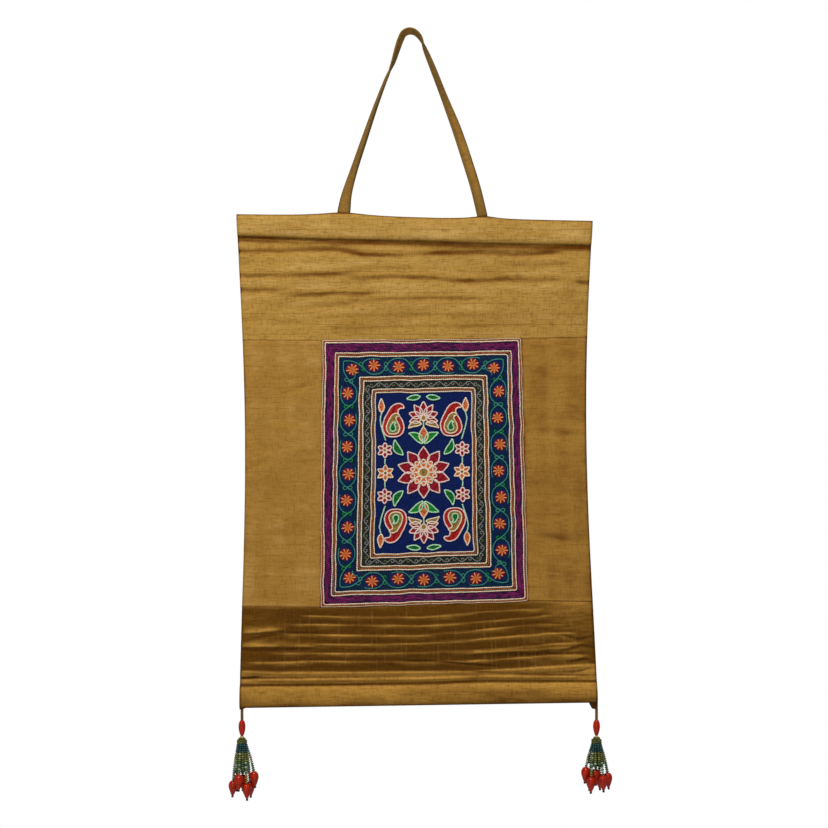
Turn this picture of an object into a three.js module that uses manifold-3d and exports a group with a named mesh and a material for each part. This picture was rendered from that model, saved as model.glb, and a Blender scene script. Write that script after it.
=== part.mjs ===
// Embroidered wall hanging: five silk panels pieced together, a twisted hanging strap and two bead tassels.
// Millimetres, +Z up, the front faces -Y. The origin is the inside of the strap's top, where a hook carries it.
import * as THREE from "three";
import { mergeVertices } from "three/addons/utils/BufferGeometryUtils.js";
import Module from "manifold-3d";

const { lerp } = THREE.MathUtils;

// Sizes of the cloth
const GAP = 0.3; // between pieces that are sewn or threaded together
const CLOTH = 2; // thickness of the lined silk
const SLEEVE = 10.6; // thickness of the round sleeves at the top and the foot
const LEFT_EDGE = { top: -172.5, foot: -169.5, waist: 7.5, skew: 0.9, fullness: 1.3 };
const RIGHT_EDGE = { top: 184, foot: 189, waist: -9.2, skew: 0.85, fullness: 1.2 };
const PANEL_LEFT = { top: -86.1, foot: -88.2 };
const PANEL_RIGHT = { top: 111.9, foot: 118.4 };

// Lines across the cloth, from its left edge to its right edge
const TOP_EDGE = { x: [-172.5, 184], z: [-180, -186.5] };
const TOP_GROOVE = { x: [-170, 182], z: [-201.5, -211] };
const TOP_SEAM = { x: [-164, -86, 112, 176], z: [-305.8, -306.3, -304.1, -302.7] };
const FOOT_SEAM = { x: [-164, -88, 118, 180], z: [-571.8, -572.5, -566.1, -567] };
const FOOT_GROOVE = { x: [-168, 0, 187], z: [-650.5, -647.5, -646.5] };
const FOOT_EDGE = { x: [-169.5, 189], z: [-673.5, -668] };

// How far the strap pulls the top edge up at each root
const STRAP_PULLS = [
  { x: -66, rise: 4, reach: 28 },
  { x: 75, rise: 3, reach: 14 },
];

// Tails of the side hems at the two bottom corners, as shares of the cloth's width
const LEFT_TAIL = { width: 0.011, drop: 1.5 };
const RIGHT_TAIL = { width: 0.016, drop: 6.5 };
const TAIL_STEP = 0.003;

// How far forward of the sleeves the cloth hangs, by height
const HANG = {
  height: [-668, -647, -570, -450, -305, -210, -180],
  forward: [0, 1, 6, 6.5, 4, 0.5, 0],
};

// Soft creases of the top band: a route across, its depth and half width
const CREASES = [
  { x: [-169, -129, -109, -39], z: [-218, -218, -215.5, -216.5], rise: -1.3, spread: 3.2 },
  { x: [-53, 31, 71, 181], z: [-221, -218, -219, -217.5], rise: -1.3, spread: 3.2 },
  { x: [-169, -109, -49], z: [-242.3, -241, -236], rise: -1.4, spread: 3.4 },
  { x: [-59, 21, 71, 131, 181], z: [-243.5, -244.3, -246, -244.8, -248.5], rise: -1.4, spread: 3.4 },
  { x: [-169, -129], z: [-256.5, -256.5], rise: -1, spread: 3 },
  { x: [-119, -34], z: [-262.3, -259.8], rise: -1.2, spread: 3 },
  { x: [-64, -9, 91], z: [-267.3, -266, -265], rise: -1.2, spread: 3 },
  { x: [-119, -49], z: [-279.5, -272.3], rise: -0.8, spread: 2.6 },
  { x: [-99, 71], z: [-282.3, -282.3], rise: -0.8, spread: 2.6 },
  { x: [-79, 121], z: [-294.5, -291], rise: -0.9, spread: 2.6 },
];

// Tucks of the bottom band, standing forward
const TUCKS = [
  { x: [-109, -9, 126], z: [-581, -582.5, -575], rise: 1.3, spread: 2.4 },
  { x: [-113, -9, 136], z: [-590, -591, -581.5], rise: 1.4, spread: 2.4 },
  { x: [-129, -9, 151], z: [-600.5, -601.5, -590], rise: 1.6, spread: 2.6 },
  { x: [-109, -29, 31, 161], z: [-610.5, -609.3, -606.5, -600], rise: 1.6, spread: 2.6 },
  { x: [-169, 6, 171], z: [-619.3, -618.5, -609.3], rise: 1.7, spread: 2.6 },
  { x: [-164, 6, 181], z: [-628.5, -627.5, -620.5], rise: 1.8, spread: 2.6 },
  { x: [-149, 6, 171], z: [-638, -636.5, -633.5], rise: 2, spread: 3 },
];
const FOLD_FADE = 14; // length over which a fold dies out at its ends

// Couched frames of the embroidered panel, by distance in from its edge
const FRAMES = [
  { inset: 1.8, half: 1.6, rise: 0.8 },
  { inset: 13, half: 2.2, rise: 1 },
  { inset: 37.6, half: 2.2, rise: 1 },
  { inset: 50.2, half: 2.2, rise: 1 },
];

// Strap: its middle line from the left root over the top to the right root, and its turn in degrees,
// where 90 shows its face to the front and 0 shows its edge
const STRAP_WIDTH = 11.5;
const STRAP_THICK = 1.6;
const STRAP = [
  { x: -65.3, z: -178.5, turn: 88 },
  { x: -62.2, z: -159.5, turn: 60 },
  { x: -55, z: -135.5, turn: 41 },
  { x: -44.9, z: -105.5, turn: 32 },
  { x: -34.6, z: -75.5, turn: 21 },
  { x: -25.7, z: -51.5, turn: 13 },
  { x: -20.8, z: -39.5, turn: 8 },
  { x: -15.8, z: -27.5, turn: -12 },
  { x: -12, z: -15.5, turn: -23 },
  { x: -8.6, z: -5.5, turn: -28 },
  { x: -5, z: 1.2, turn: -28 },
  { x: 1, z: 3.5, turn: -28 },
  { x: 7, z: 1.5, turn: -20 },
  { x: 11.9, z: -4.3, turn: -10 },
  { x: 16.4, z: -15.5, turn: 19 },
  { x: 23.8, z: -33.5, turn: 31 },
  { x: 35.5, z: -63.5, turn: 39 },
  { x: 47.2, z: -93.5, turn: 55 },
  { x: 57.3, z: -123.5, turn: 62 },
  { x: 66.6, z: -153.5, turn: 63 },
  { x: 73.6, z: -182.5, turn: 64 },
];
const STRAP_STEPS = 3; // between two rows of the table

// Tassels: where each hangs, the tip of the drop on each long string, with x and y from the tassel's own axis, the
// turn and the foot of its inner ring of plain strings, and the turns of the outer plain strings between the long ones
const CORD = { radius: 1.35, length: 10 };
const OVAL_BEAD = { length: 15.6, radius: 3.5, end: 1.4, skew: 0.8 };
const HEAD = { length: 7, radius: 4.7 };
const STRING = { width: 1.3, root: 4.2, rootShare: 0.44, bow: 0.06, steps: 6 };
const INNER = { count: 8, root: 2.3, spread: 5.4, lift: 0 };
const OUTER = { root: 4.2, spread: 8, lift: 3 };
const TASSELS = [
  {
    side: "left",
    x: -167,
    top: -675,
    turn: 8,
    foot: -738.5,
    between: [69.9, 98.7, 161.6, 224.8, 280.4, 336.5],
    tips: [
      { x: -9.4, y: -2.6, z: -762.6 },
      { x: -2.7, y: -9.5, z: -756 },
      { x: 5.6, y: -7.5, z: -765.3 },
      { x: 13.1, y: 1.4, z: -753.9 },
      { x: 8.4, y: 7.3, z: -764.5 },
      { x: -6, y: 7.8, z: -758.5 },
      { x: 0.8, y: 0.1, z: -757 },
    ],
  },
  {
    side: "right",
    x: 187.5,
    top: -674.5,
    turn: 30,
    foot: -732.5,
    between: [40, 98, 157, 257.9, 286.7, 342.9],
    tips: [
      { x: -11.9, y: -0.3, z: -749.3 },
      { x: -6.3, y: -7.3, z: -758.4 },
      { x: 6.6, y: -6.5, z: -757.1 },
      { x: 12.4, y: 2.3, z: -755.4 },
      { x: 4.2, y: 9.6, z: -757.5 },
      { x: -6.6, y: 8, z: -758 },
      { x: -0.8, y: -0.1, z: -751.5 },
    ],
  },
];

// Red drop with its stop bead, as radius by distance down from its top
const DROP = [
  { down: 0, radius: 1.2 },
  { down: 1.2, radius: 3 },
  { down: 3, radius: 4.2 },
  { down: 5, radius: 4.5 },
  { down: 8, radius: 3.9 },
  { down: 11.5, radius: 2.6 },
  { down: 14.6, radius: 1.1 },
  { down: 15.8, radius: 1.2 },
  { down: 17, radius: 0.6 },
];

// Finishes
const FINISHES = {
  gold_silk: { color: 0xa97f3d, roughness: 0.45, metalness: 0 },
  dark_silk: { color: 0x7a5626, roughness: 0.45, metalness: 0 },
  embroidery: { color: 0x1c2150, roughness: 0.8, metalness: 0 },
  silk_strap: { color: 0x6a5428, roughness: 0.55, metalness: 0 },
  cord_thread: { color: 0x6b4a22, roughness: 0.8, metalness: 0 },
  seed_beads: { color: 0x6f7a3c, roughness: 0.25, metalness: 0 },
  red_glass: { color: 0x9c1418, roughness: 0.12, metalness: 0 },
};

const group = new THREE.Group();

function addPiece(name, finish, geometry) {
  const mesh = new THREE.Mesh(geometry, new THREE.MeshStandardMaterial(FINISHES[finish]));
  mesh.name = name;
  group.add(mesh);
  return mesh;
}

// Value of a route at x, straight between its points and level beyond its ends
function along(route, x) {
  const last = route.x.length - 1;
  const at = THREE.MathUtils.clamp(x, route.x[0], route.x[last]);
  let i = 0;
  while (i < last - 1 && at > route.x[i + 1]) i++;
  return lerp(route.z[i], route.z[i + 1], (at - route.x[i]) / (route.x[i + 1] - route.x[i]));
}

// A line across the cloth as a function of x, moved up by shift
const level = (route, shift = 0) => (x) => along(route, x) + shift;

const hangAt = (z) => along({ x: HANG.height, z: HANG.forward }, z);

function topEdge(x) {
  const pulled = STRAP_PULLS.map(({ x: root, rise, reach }) => rise / (1 + ((x - root) / reach) ** 2));
  return along(TOP_EDGE, x) + Math.max(...pulled);
}

// A side edge as a function of z, drawn in at the waist
function sideEdge({ top, foot, waist, skew, fullness }) {
  return (z) => {
    const share = THREE.MathUtils.clamp((TOP_EDGE.z[0] - z) / (TOP_EDGE.z[0] - FOOT_EDGE.z[0]), 0, 1);
    const drawn = Math.max(0, Math.sin(Math.PI * share ** skew)) ** fullness;
    return lerp(top, foot, share) + waist * drawn;
  };
}

// A seam down the embroidered panel's side as a function of z, moved right by shift
function panelSide({ top, foot }, shift) {
  return (z) => lerp(top, foot, (TOP_SEAM.z[1] - z) / (TOP_SEAM.z[1] - FOOT_SEAM.z[1])) + shift;
}

// How far a set of folds stands forward at a point of the cloth
function foldHeight(folds, x, z) {
  return folds.reduce((sum, fold) => {
    const toEnd = Math.min(x - fold.x[0], fold.x.at(-1) - x);
    const fade = THREE.MathUtils.smoothstep(toEnd, -FOLD_FADE, FOLD_FADE);
    return sum + fold.rise * fade * Math.exp(-(((z - along(fold, x)) / fold.spread) ** 2));
  }, 0);
}

const none = () => 0;

// A closed sheet on a grid of columns and rows: place gives the point of each face at a column and a row
function bentSheet(columns, rows, place) {
  const geometry = new THREE.BoxGeometry(1, 1, 1, columns, 1, rows);
  const points = geometry.getAttribute("position");
  for (let i = 0; i < points.count; i++) {
    const column = Math.round((points.getX(i) + 0.5) * columns);
    const row = Math.round((0.5 - points.getZ(i)) * rows);
    const spot = place(column, row, points.getY(i) < 0);
    points.setXYZ(i, spot.x, spot.y, spot.z);
  }
  geometry.computeVertexNormals();
  return geometry;
}

// A cloth panel between two sides and two or three levels. A column stop runs from 0 at the left to 1 at the
// right, and a row stop from 0 at the first level to 1 at the second and 2 at the third. Folds move both faces,
// raised work stands on the front alone, a roll thickens a sleeve and a drop lowers the foot.
function clothPanel({ left, right, levels, columns, rows, folds = [], raised = none, roll = none, drop = none }) {
  return bentSheet(columns.length - 1, rows.length - 1, (column, row, isFront) => {
    const across = columns[column];
    const span = Math.min(Math.floor(rows[row]), levels.length - 2);
    const share = rows[row] - span;
    const heightAt = (x) => lerp(levels[span](x), levels[span + 1](x), share);
    const nearZ = heightAt(lerp(left(levels[0](0)), right(levels[0](0)), across));
    const x = lerp(left(nearZ), right(nearZ), across);
    const z = heightAt(x);
    const half = Math.max(CLOTH, SLEEVE * roll(rows[row])) / 2;
    const folded = roll(rows[row]) > 0 ? 0 : foldHeight(folds, x, z);
    const face = isFront ? -half - raised(across, rows[row]) : half;
    const lowered = rows[row] === levels.length - 1 ? drop(across) : 0;
    return { x, y: face - hangAt(z) - folded, z: z - lowered };
  });
}

// Even stops from start to end, both ends included
const stops = (start, end, count) => Array.from({ length: count + 1 }, (_, i) => lerp(start, end, i / count));

// Share of a sleeve's full thickness across it, round in section
const roundSection = (share) => Math.sqrt(Math.max(0, 1 - (2 * share - 1) ** 2));
const SLEEVE_ROWS = [0, 0.02, 0.09, 0.24, 0.42, 0.62, 0.8, 0.92, 0.985];

const leftEdge = sideEdge(LEFT_EDGE);
const rightEdge = sideEdge(RIGHT_EDGE);

function topPanel() {
  return clothPanel({
    left: leftEdge,
    right: rightEdge,
    levels: [topEdge, level(TOP_GROOVE), level(TOP_SEAM, GAP / 2)],
    columns: stops(0, 1, 14),
    rows: [...SLEEVE_ROWS, ...stops(1, 2, 32)],
    folds: CREASES,
    roll: (row) => (row < 1 ? roundSection(row) : 0),
  });
}

function tailDrop(across) {
  if (across <= LEFT_TAIL.width) return LEFT_TAIL.drop;
  return across >= 1 - RIGHT_TAIL.width ? RIGHT_TAIL.drop : 0;
}

function bottomPanel() {
  const inner = stops(LEFT_TAIL.width + TAIL_STEP, 1 - RIGHT_TAIL.width - TAIL_STEP, 13);
  return clothPanel({
    left: leftEdge,
    right: rightEdge,
    levels: [level(FOOT_SEAM, -GAP / 2), level(FOOT_GROOVE), level(FOOT_EDGE)],
    columns: [0, LEFT_TAIL.width, ...inner, 1 - RIGHT_TAIL.width, 1],
    rows: [...stops(0, 1, 30), ...SLEEVE_ROWS.map((share) => 2 - share).reverse()],
    folds: TUCKS,
    roll: (row) => (row > 1 ? roundSection(row - 1) : 0),
    drop: tailDrop,
  });
}

function sidePanel(left, right) {
  return clothPanel({
    left,
    right,
    levels: [level(TOP_SEAM, -GAP / 2), level(FOOT_SEAM, GAP / 2)],
    columns: stops(0, 1, 4),
    rows: stops(0, 1, 18),
  });
}

// Stops across the embroidered panel at the foot, ridge and foot of each frame, in from both edges
function frameStops(size) {
  const near = FRAMES.flatMap(({ inset, half }) => [inset - half, inset, inset + half]).map((inset) => inset / size);
  return [0, ...near, 0.5, ...near.map((share) => 1 - share).reverse(), 1];
}

function embroideredPanel() {
  const left = panelSide(PANEL_LEFT, GAP / 2);
  const right = panelSide(PANEL_RIGHT, -GAP / 2);
  const width = PANEL_RIGHT.top - PANEL_LEFT.top;
  const height = TOP_SEAM.z[1] - FOOT_SEAM.z[1];
  const couching = (across, down) => {
    const inset = Math.min(across * width, (1 - across) * width, down * height, (1 - down) * height);
    const rises = FRAMES.map((frame) => frame.rise * Math.max(0, 1 - Math.abs(inset - frame.inset) / frame.half));
    return Math.max(...rises);
  };
  return clothPanel({
    left,
    right,
    levels: [level(TOP_SEAM, -GAP / 2), level(FOOT_SEAM, GAP / 2)],
    columns: frameStops(width),
    rows: frameStops(height),
    raised: couching,
  });
}

function hangingStrap() {
  const route = new THREE.CatmullRomCurve3(
    STRAP.map(({ x, z }) => new THREE.Vector3(x, 0, z)),
    false,
    "centripetal",
  );
  const intervals = STRAP.length - 1;
  const rows = intervals * STRAP_STEPS;
  const columns = 2;
  return bentSheet(columns, rows, (column, row, isFront) => {
    const middle = route.getPoint(row / rows);
    const tangent = route.getTangent(row / rows);
    const outward = new THREE.Vector3(-tangent.z, 0, tangent.x);
    const before = Math.min(Math.floor(row / STRAP_STEPS), intervals - 1);
    const share = row / STRAP_STEPS - before;
    const turn = THREE.MathUtils.degToRad(lerp(STRAP[before].turn, STRAP[before + 1].turn, share));
    const widthways = new THREE.Vector3(0, Math.cos(turn), 0).addScaledVector(outward, Math.sin(turn));
    const backwards = widthways.clone().cross(tangent);
    const spot = middle
      .addScaledVector(widthways, STRAP_WIDTH * (column / columns - 0.5))
      .addScaledVector(backwards, isFront ? -STRAP_THICK / 2 : STRAP_THICK / 2);
    if (row === 0 || row === rows) spot.z = topEdge(spot.x) + GAP;
    return spot;
  });
}

// A turned solid about Z from rows of radius and height, listed from the top down
function turned(rows, sides) {
  const profile = [...rows].reverse().map(({ radius, z }) => new THREE.Vector2(radius, z));
  profile.unshift(new THREE.Vector2(0, profile[0].y));
  profile.push(new THREE.Vector2(0, profile.at(-1).y));
  return new THREE.LatheGeometry(profile, sides).rotateX(Math.PI / 2);
}

function ovalBead() {
  const { length, radius, end, skew } = OVAL_BEAD;
  const rows = stops(0, 1, 8).map((share) => ({
    radius: end + (radius - end) * Math.sin(Math.PI * share ** skew),
    z: -length * share,
  }));
  return turned(rows, 12);
}

function tasselHead() {
  const { length, radius } = HEAD;
  const rows = [
    { radius: radius * 0.5, z: 0 },
    { radius: radius * 0.78, z: -length * 0.25 },
    { radius: radius * 0.94, z: -length * 0.7 },
    { radius, z: -length },
  ];
  return turned(rows, 12);
}

const dropLength = DROP.at(-1).down;

// Curve of a string from its root inside the head to its end, bowed a little outwards
function stringCurve(root, end) {
  const inside = root.clone().setZ(-HEAD.length * 0.5);
  const mouth = root.clone().setZ(-HEAD.length * 1.1);
  const bow = end.clone().setZ(0).multiplyScalar(STRING.bow);
  const belly = mouth.clone().lerp(end, 0.5).add(bow);
  return new THREE.CatmullRomCurve3([inside, mouth, belly, end]);
}

// A long string, the top of its drop and the way that the drop points, from the tip of the drop
function longString(tip) {
  const rootShare = Math.min(STRING.rootShare, STRING.root / Math.hypot(tip.x, tip.y));
  const root = new THREE.Vector3(tip.x, tip.y, 0).multiplyScalar(rootShare);
  const down = new THREE.Vector3(tip.x * 0.35, tip.y * 0.35, tip.z).normalize();
  const dropTop = tip.clone().addScaledVector(down, -dropLength);
  return { curve: stringCurve(root, dropTop.clone().addScaledVector(down, -GAP)), dropTop, down };
}

// Curves of the short plain strings of one ring, at turns in degrees
function plainStrings(turns, { root, spread, lift }, foot) {
  return turns.map((degrees) => {
    const angle = THREE.MathUtils.degToRad(degrees);
    const way = new THREE.Vector3(Math.cos(angle), Math.sin(angle), 0);
    return stringCurve(way.clone().multiplyScalar(root), way.multiplyScalar(spread).setZ(foot + lift));
  });
}

function beadString(curve) {
  const sideways = new THREE.Vector3(1, 0, 0);
  return bentSheet(1, STRING.steps, (column, row, isFront) => {
    const middle = curve.getPoint(row / STRING.steps);
    const backwards = sideways.clone().cross(curve.getTangent(row / STRING.steps)).normalize();
    return middle
      .addScaledVector(sideways, STRING.width * (column - 0.5))
      .addScaledVector(backwards, isFront ? -STRING.width / 2 : STRING.width / 2);
  });
}

const wasm = await Module();
wasm.setup();

function solidOf(geometry) {
  const bare = new THREE.BufferGeometry().setAttribute("position", geometry.getAttribute("position"));
  const merged = mergeVertices(bare.setIndex(geometry.index), 1e-3);
  return new wasm.Manifold(
    new wasm.Mesh({
      numProp: 3,
      vertProperties: merged.getAttribute("position").array,
      triVerts: new Uint32Array(merged.index.array),
    }),
  );
}

// Several closed shapes joined into one
function joined(shapes) {
  const mesh = shapes.map(solidOf).reduce((whole, solid) => whole.add(solid)).getMesh();
  const geometry = new THREE.BufferGeometry();
  geometry.setAttribute("position", new THREE.BufferAttribute(mesh.vertProperties, mesh.numProp));
  geometry.setIndex(new THREE.BufferAttribute(mesh.triVerts, 1));
  geometry.computeVertexNormals();
  return geometry;
}

function addTassel({ side, x, top, turn, foot, between, tips }) {
  const cordTop = top - GAP;
  const beadTop = cordTop - CORD.length - GAP;
  const headTop = beadTop - OVAL_BEAD.length - GAP;
  const cord = new THREE.CylinderGeometry(CORD.radius, CORD.radius, CORD.length, 8).rotateX(Math.PI / 2);
  addPiece(`cord_${side}`, "cord_thread", cord).position.set(x, 0, cordTop - CORD.length / 2);
  addPiece(`oval_bead_${side}`, "red_glass", ovalBead()).position.set(x, 0, beadTop);
  const long = tips.map((tip) => longString(new THREE.Vector3(tip.x, tip.y, tip.z - headTop)));
  const curves = [
    ...long.map(({ curve }) => curve),
    ...plainStrings(stops(turn, turn + 360, INNER.count).slice(0, -1), INNER, foot - headTop),
    ...plainStrings(between, OUTER, foot - headTop),
  ];
  const bundle = joined([tasselHead(), ...curves.map(beadString)]);
  addPiece(`tassel_${side}`, "seed_beads", bundle).position.set(x, 0, headTop);
  long.forEach(({ dropTop, down }, i) => {
    const profile = DROP.map(({ down: depth, radius }) => ({ radius, z: -depth }));
    const drop = addPiece(`drop_${side}_${i + 1}`, "red_glass", turned(profile, 9));
    drop.position.set(x, 0, headTop).add(dropTop);
    drop.quaternion.setFromUnitVectors(new THREE.Vector3(0, 0, -1), down);
  });
}

addPiece("top_panel", "gold_silk", topPanel());
addPiece("left_panel", "gold_silk", sidePanel(leftEdge, panelSide(PANEL_LEFT, -GAP / 2)));
addPiece("right_panel", "gold_silk", sidePanel(panelSide(PANEL_RIGHT, GAP / 2), rightEdge));
addPiece("embroidered_panel", "embroidery", embroideredPanel());
addPiece("bottom_panel", "dark_silk", bottomPanel());
addPiece("hanging_strap", "silk_strap", hangingStrap());
TASSELS.forEach(addTassel);

export default group;
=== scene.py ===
"""Looks of an embroidered wall hanging: pieced silk, couched stitches, a strap and two bead tassels.

Metres, +Z up, the front faces -Y. The origin is the inside of the strap's top, where a hook carries it.
"""
import math
from typing import NamedTuple

import bmesh
import bpy
import numpy as np
from bpy.props import FloatProperty, FloatVectorProperty, PointerProperty
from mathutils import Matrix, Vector


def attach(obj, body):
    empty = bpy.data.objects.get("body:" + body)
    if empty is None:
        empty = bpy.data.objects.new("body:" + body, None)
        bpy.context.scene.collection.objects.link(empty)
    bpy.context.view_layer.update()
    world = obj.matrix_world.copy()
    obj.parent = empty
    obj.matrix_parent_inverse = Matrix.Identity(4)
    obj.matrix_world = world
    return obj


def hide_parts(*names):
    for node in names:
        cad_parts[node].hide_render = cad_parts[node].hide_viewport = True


bl_info = {
    "name": "Embroidered wall hanging",
    "version": (1, 0, 0),
    "blender": (4, 5, 0),
    "location": "View3D > Sidebar > Hanging",
    "description": "Dresses the packed hanging in silk, stitches and beads",
    "category": "Object",
}

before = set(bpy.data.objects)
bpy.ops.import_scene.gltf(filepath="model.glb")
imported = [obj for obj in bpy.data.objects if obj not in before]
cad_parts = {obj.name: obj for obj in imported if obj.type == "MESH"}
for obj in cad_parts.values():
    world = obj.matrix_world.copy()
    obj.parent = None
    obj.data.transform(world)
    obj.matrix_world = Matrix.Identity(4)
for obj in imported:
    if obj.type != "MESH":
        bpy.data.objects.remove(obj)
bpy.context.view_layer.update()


def mm(*values):
    """Millimetres as metres: one number, or an array of several."""
    return values[0] * 0.001 if len(values) == 1 else np.array(values) * 0.001


class Route(NamedTuple):
    """A line across the cloth: heights at places along X, level beyond its ends."""

    x: np.ndarray
    z: np.ndarray

    def at(self, x):
        return np.interp(x, self.x, self.z)


class Fold(NamedTuple):
    """A fold along a route: how far it stands forward, and its spread above and below the line."""

    route: Route
    rise: float
    above: float
    below: float


def fold(x, z, rise, above, below):
    return Fold(Route(mm(*x), mm(*z)), mm(rise), mm(above), mm(below))


# Lines across the cloth, from its left edge to its right edge
GAP = mm(0.3)
TOP_EDGE = Route(mm(-172.5, 184), mm(-180, -186.5))
TOP_GROOVE = Route(mm(-170, -101, 10, 76, 181), mm(-201.9, -204.6, -207.0, -209.4, -211.2))
TOP_SEAM = Route(mm(-164, -86, 112, 176), mm(-305.8, -306.3, -304.1, -302.7))
FOOT_SEAM = Route(mm(-164, -88, 118, 180), mm(-571.8, -572.5, -566.1, -567))
FOOT_GROOVE = Route(mm(-168, -67, 10, 72, 187), mm(-650.6, -649.8, -648.6, -646.4, -646.5))
FOOT_EDGE = Route(mm(-169.5, 189), mm(-673.5, -668))

# How far forward of the sleeves the cloth hangs, by height
HANG_HEIGHT = mm(-668, -647, -570, -450, -305, -210, -180)
HANG_FORWARD = mm(0, 1, 6, 6.5, 4, 0.5, 0)


class SideEdge(NamedTuple):
    """A side of the cloth, drawn in at its waist."""

    top: float
    foot: float
    waist: float
    skew: float
    fullness: float

    def at(self, z):
        share = np.clip((TOP_EDGE.z[0] - z) / (TOP_EDGE.z[0] - FOOT_EDGE.z[0]), 0, 1)
        drawn = np.maximum(0, np.sin(np.pi * share**self.skew)) ** self.fullness
        return self.top + (self.foot - self.top) * share + self.waist * drawn


class PanelEdge(NamedTuple):
    """A straight side of the embroidered panel."""

    top: float
    foot: float

    def at(self, z):
        share = (TOP_SEAM.z[1] - z) / (TOP_SEAM.z[1] - FOOT_SEAM.z[1])
        return self.top + (self.foot - self.top) * share


LEFT_EDGE = SideEdge(mm(-172.5), mm(-169.5), mm(7.5), 0.9, 1.3)
RIGHT_EDGE = SideEdge(mm(184), mm(189), mm(-9.2), 0.85, 1.2)
PANEL_LEFT = PanelEdge(mm(-86.1), mm(-88.2))
PANEL_RIGHT = PanelEdge(mm(111.9), mm(118.4))
PANEL_WIDTH = PANEL_RIGHT.top - PANEL_LEFT.top
PANEL_HEIGHT = TOP_SEAM.z[1] - FOOT_SEAM.z[1]

# How far the strap pulls the top edge up at each root: where, how high and how far along
STRAP_PULLS = [(mm(-66), mm(4), mm(28)), (mm(75), mm(3), mm(14))]

# Tails of the side hems at the bottom corners, as shares of the width, and how far they hang
LEFT_TAIL = (0.011, mm(1.5))
RIGHT_TAIL = (0.016, mm(6.5))
TAIL_BLEND = 0.004

# Soft creases of the top band, as valleys: places along X, heights, rise, spread above and below
CREASES = [
    fold((-182, -134, -109, -74, -49), (-217.2, -216.9, -215.5, -215.5, -216.5), -0.83, 2.2, 3.4),
    fold(
        (-57, -14, 11, 34, 66, 111, 151),
        (-219.8, -221.2, -220.5, -218.4, -218.4, -219.5, -219.1),
        -0.83, 2.2, 3.4,
    ),
    fold((-172, -97, -75, -56), (-242.2, -240.5, -240.1, -239.3), -0.78, 2, 3.4),
    fold(
        (-61, -9, 31, 66, 101, 131, 156),
        (-244.5, -242.5, -244.8, -246.9, -244.1, -245.9, -246.5),
        -0.83, 2, 3.4,
    ),
    fold((166, 181), (-248, -249.3), -0.88, 1.6, 2.6),
    fold((96, 131, 160), (-230, -231, -229), -0.5, 2.2, 3.4),
    fold((-60, -29, 5), (-235.5, -235, -234.5), -0.5, 2.2, 3.4),
    fold((-180, -124), (-256.3, -256), -0.8, 2, 3),
    fold((-119, -75, -31), (-262.1, -259.4, -259.1), -0.72, 1.8, 3),
    fold((-70, -45, -24, -4, 41, 81), (-267.5, -267.2, -265.5, -264.8, -264.1, -264.8), -0.61, 1.8, 3),
    fold((-109, -79, -59), (-274, -272, -271.5), -0.39, 1.6, 2.6),
    fold((-87, -9, 71), (-283.5, -281.5, -282), -0.28, 1.4, 2.4),
    fold((-81, -37, 11, 121), (-294.1, -294, -292.5, -291.9), -0.39, 1.2, 2.4),
    fold((-167, -145, -105), (-284, -285, -289), -0.4, 4, 5),
]

# Tucks of the bottom band, most with a steep upper side over a long lower one, then its valleys
TUCKS = [
    fold((-107, -67, 10, 72, 127), (-581.2, -582.2, -582.6, -577.5, -574.5), 1.3, 0.9, 5),
    fold((-120, -52, 10, 87, 138), (-589.8, -590.5, -591.2, -586.2, -581.2), 1.5, 0.9, 5.5),
    fold((-125, -81, 10, 72, 130, 150), (-599.4, -600.5, -601.2, -595.5, -589.8, -590.5), 1.6, 1, 5.5),
    fold((-90, -38, 10, 87, 137, 162), (-609.8, -609.8, -609.1, -603.4, -599.1, -598.4), 1.6, 1, 5.5),
    fold((-167, -150, -128), (-598, -596.8, -594), 1.5, 4.4, 1.8),
    fold((-167, -129, -95), (-611.5, -610.8, -611.5), 1.8, 4.2, 1.8),
    fold((60, 91, 131, 158), (-618, -616.5, -614.5, -613), 1.2, 1.9, 2),
    fold((-134, -81, 10, 87, 144, 168), (-618.4, -619.1, -618.4, -614.8, -609.8, -608.4), 1.7, 1, 5.5),
    fold((-157, -95, 10, 87, 130, 175), (-628.4, -626.9, -627.6, -625.5, -621.2, -619.8), 1.8, 1, 5.5),
    fold((-167, -131, 10, 65, 130, 175), (-637, -638.4, -637.6, -636.9, -633.4, -630.5), 2.2, 1.4, 3),
    fold((-150, -67, 10, 72, 168), (-645.5, -645, -644.2, -642, -642.3), 1.6, 1.6, 2),
    fold((-166, -147, -124, -89), (-606.5, -603, -598.5, -599), -0.7, 1.6, 1.6),
    fold((-166, -139, -109), (-615.8, -616.2, -614), -0.7, 1.4, 1.8),
    fold((102, 136, 176), (-620, -619.5, -620), -0.9, 1.4, 1.4),
    fold((62, 91, 124, 168, 181), (-636.5, -638, -638.8, -637.5, -633.5), -1.2, 1.4, 1.6),
    fold((-4, 31, 86), (-626.5, -627, -631.5), -1.5, 1.2, 1.6),
    fold((-168, -151), (-644.2, -642.3), -2.2, 1.6, 2),
    fold((150, 169, 184), (-598.5, -605.5, -601.5), -0.9, 1.4, 1.8),
    fold((155, 172, 184), (-616, -611, -613.5), -0.9, 1.4, 1.6),
    fold((162, 176, 184), (-627, -624.5, -628), -0.9, 1.2, 1.6),
]

# Soft creases of the side panels
SIDE_CREASES = [
    fold((-124, -94), (-358.5, -347.5), -0.7, 3, 4),
    fold((-164, -139), (-434.5, -425.5), -0.7, 3, 4),
    fold((-150, -100), (-500, -494), -0.4, 4, 5),
    fold((125, 172), (-395, -401), -0.5, 4, 5),
    fold((130, 176), (-500, -508), -0.5, 4, 6),
]

# How far a fold takes to fade in at each end
FOLD_FADE = mm(12)


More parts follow.
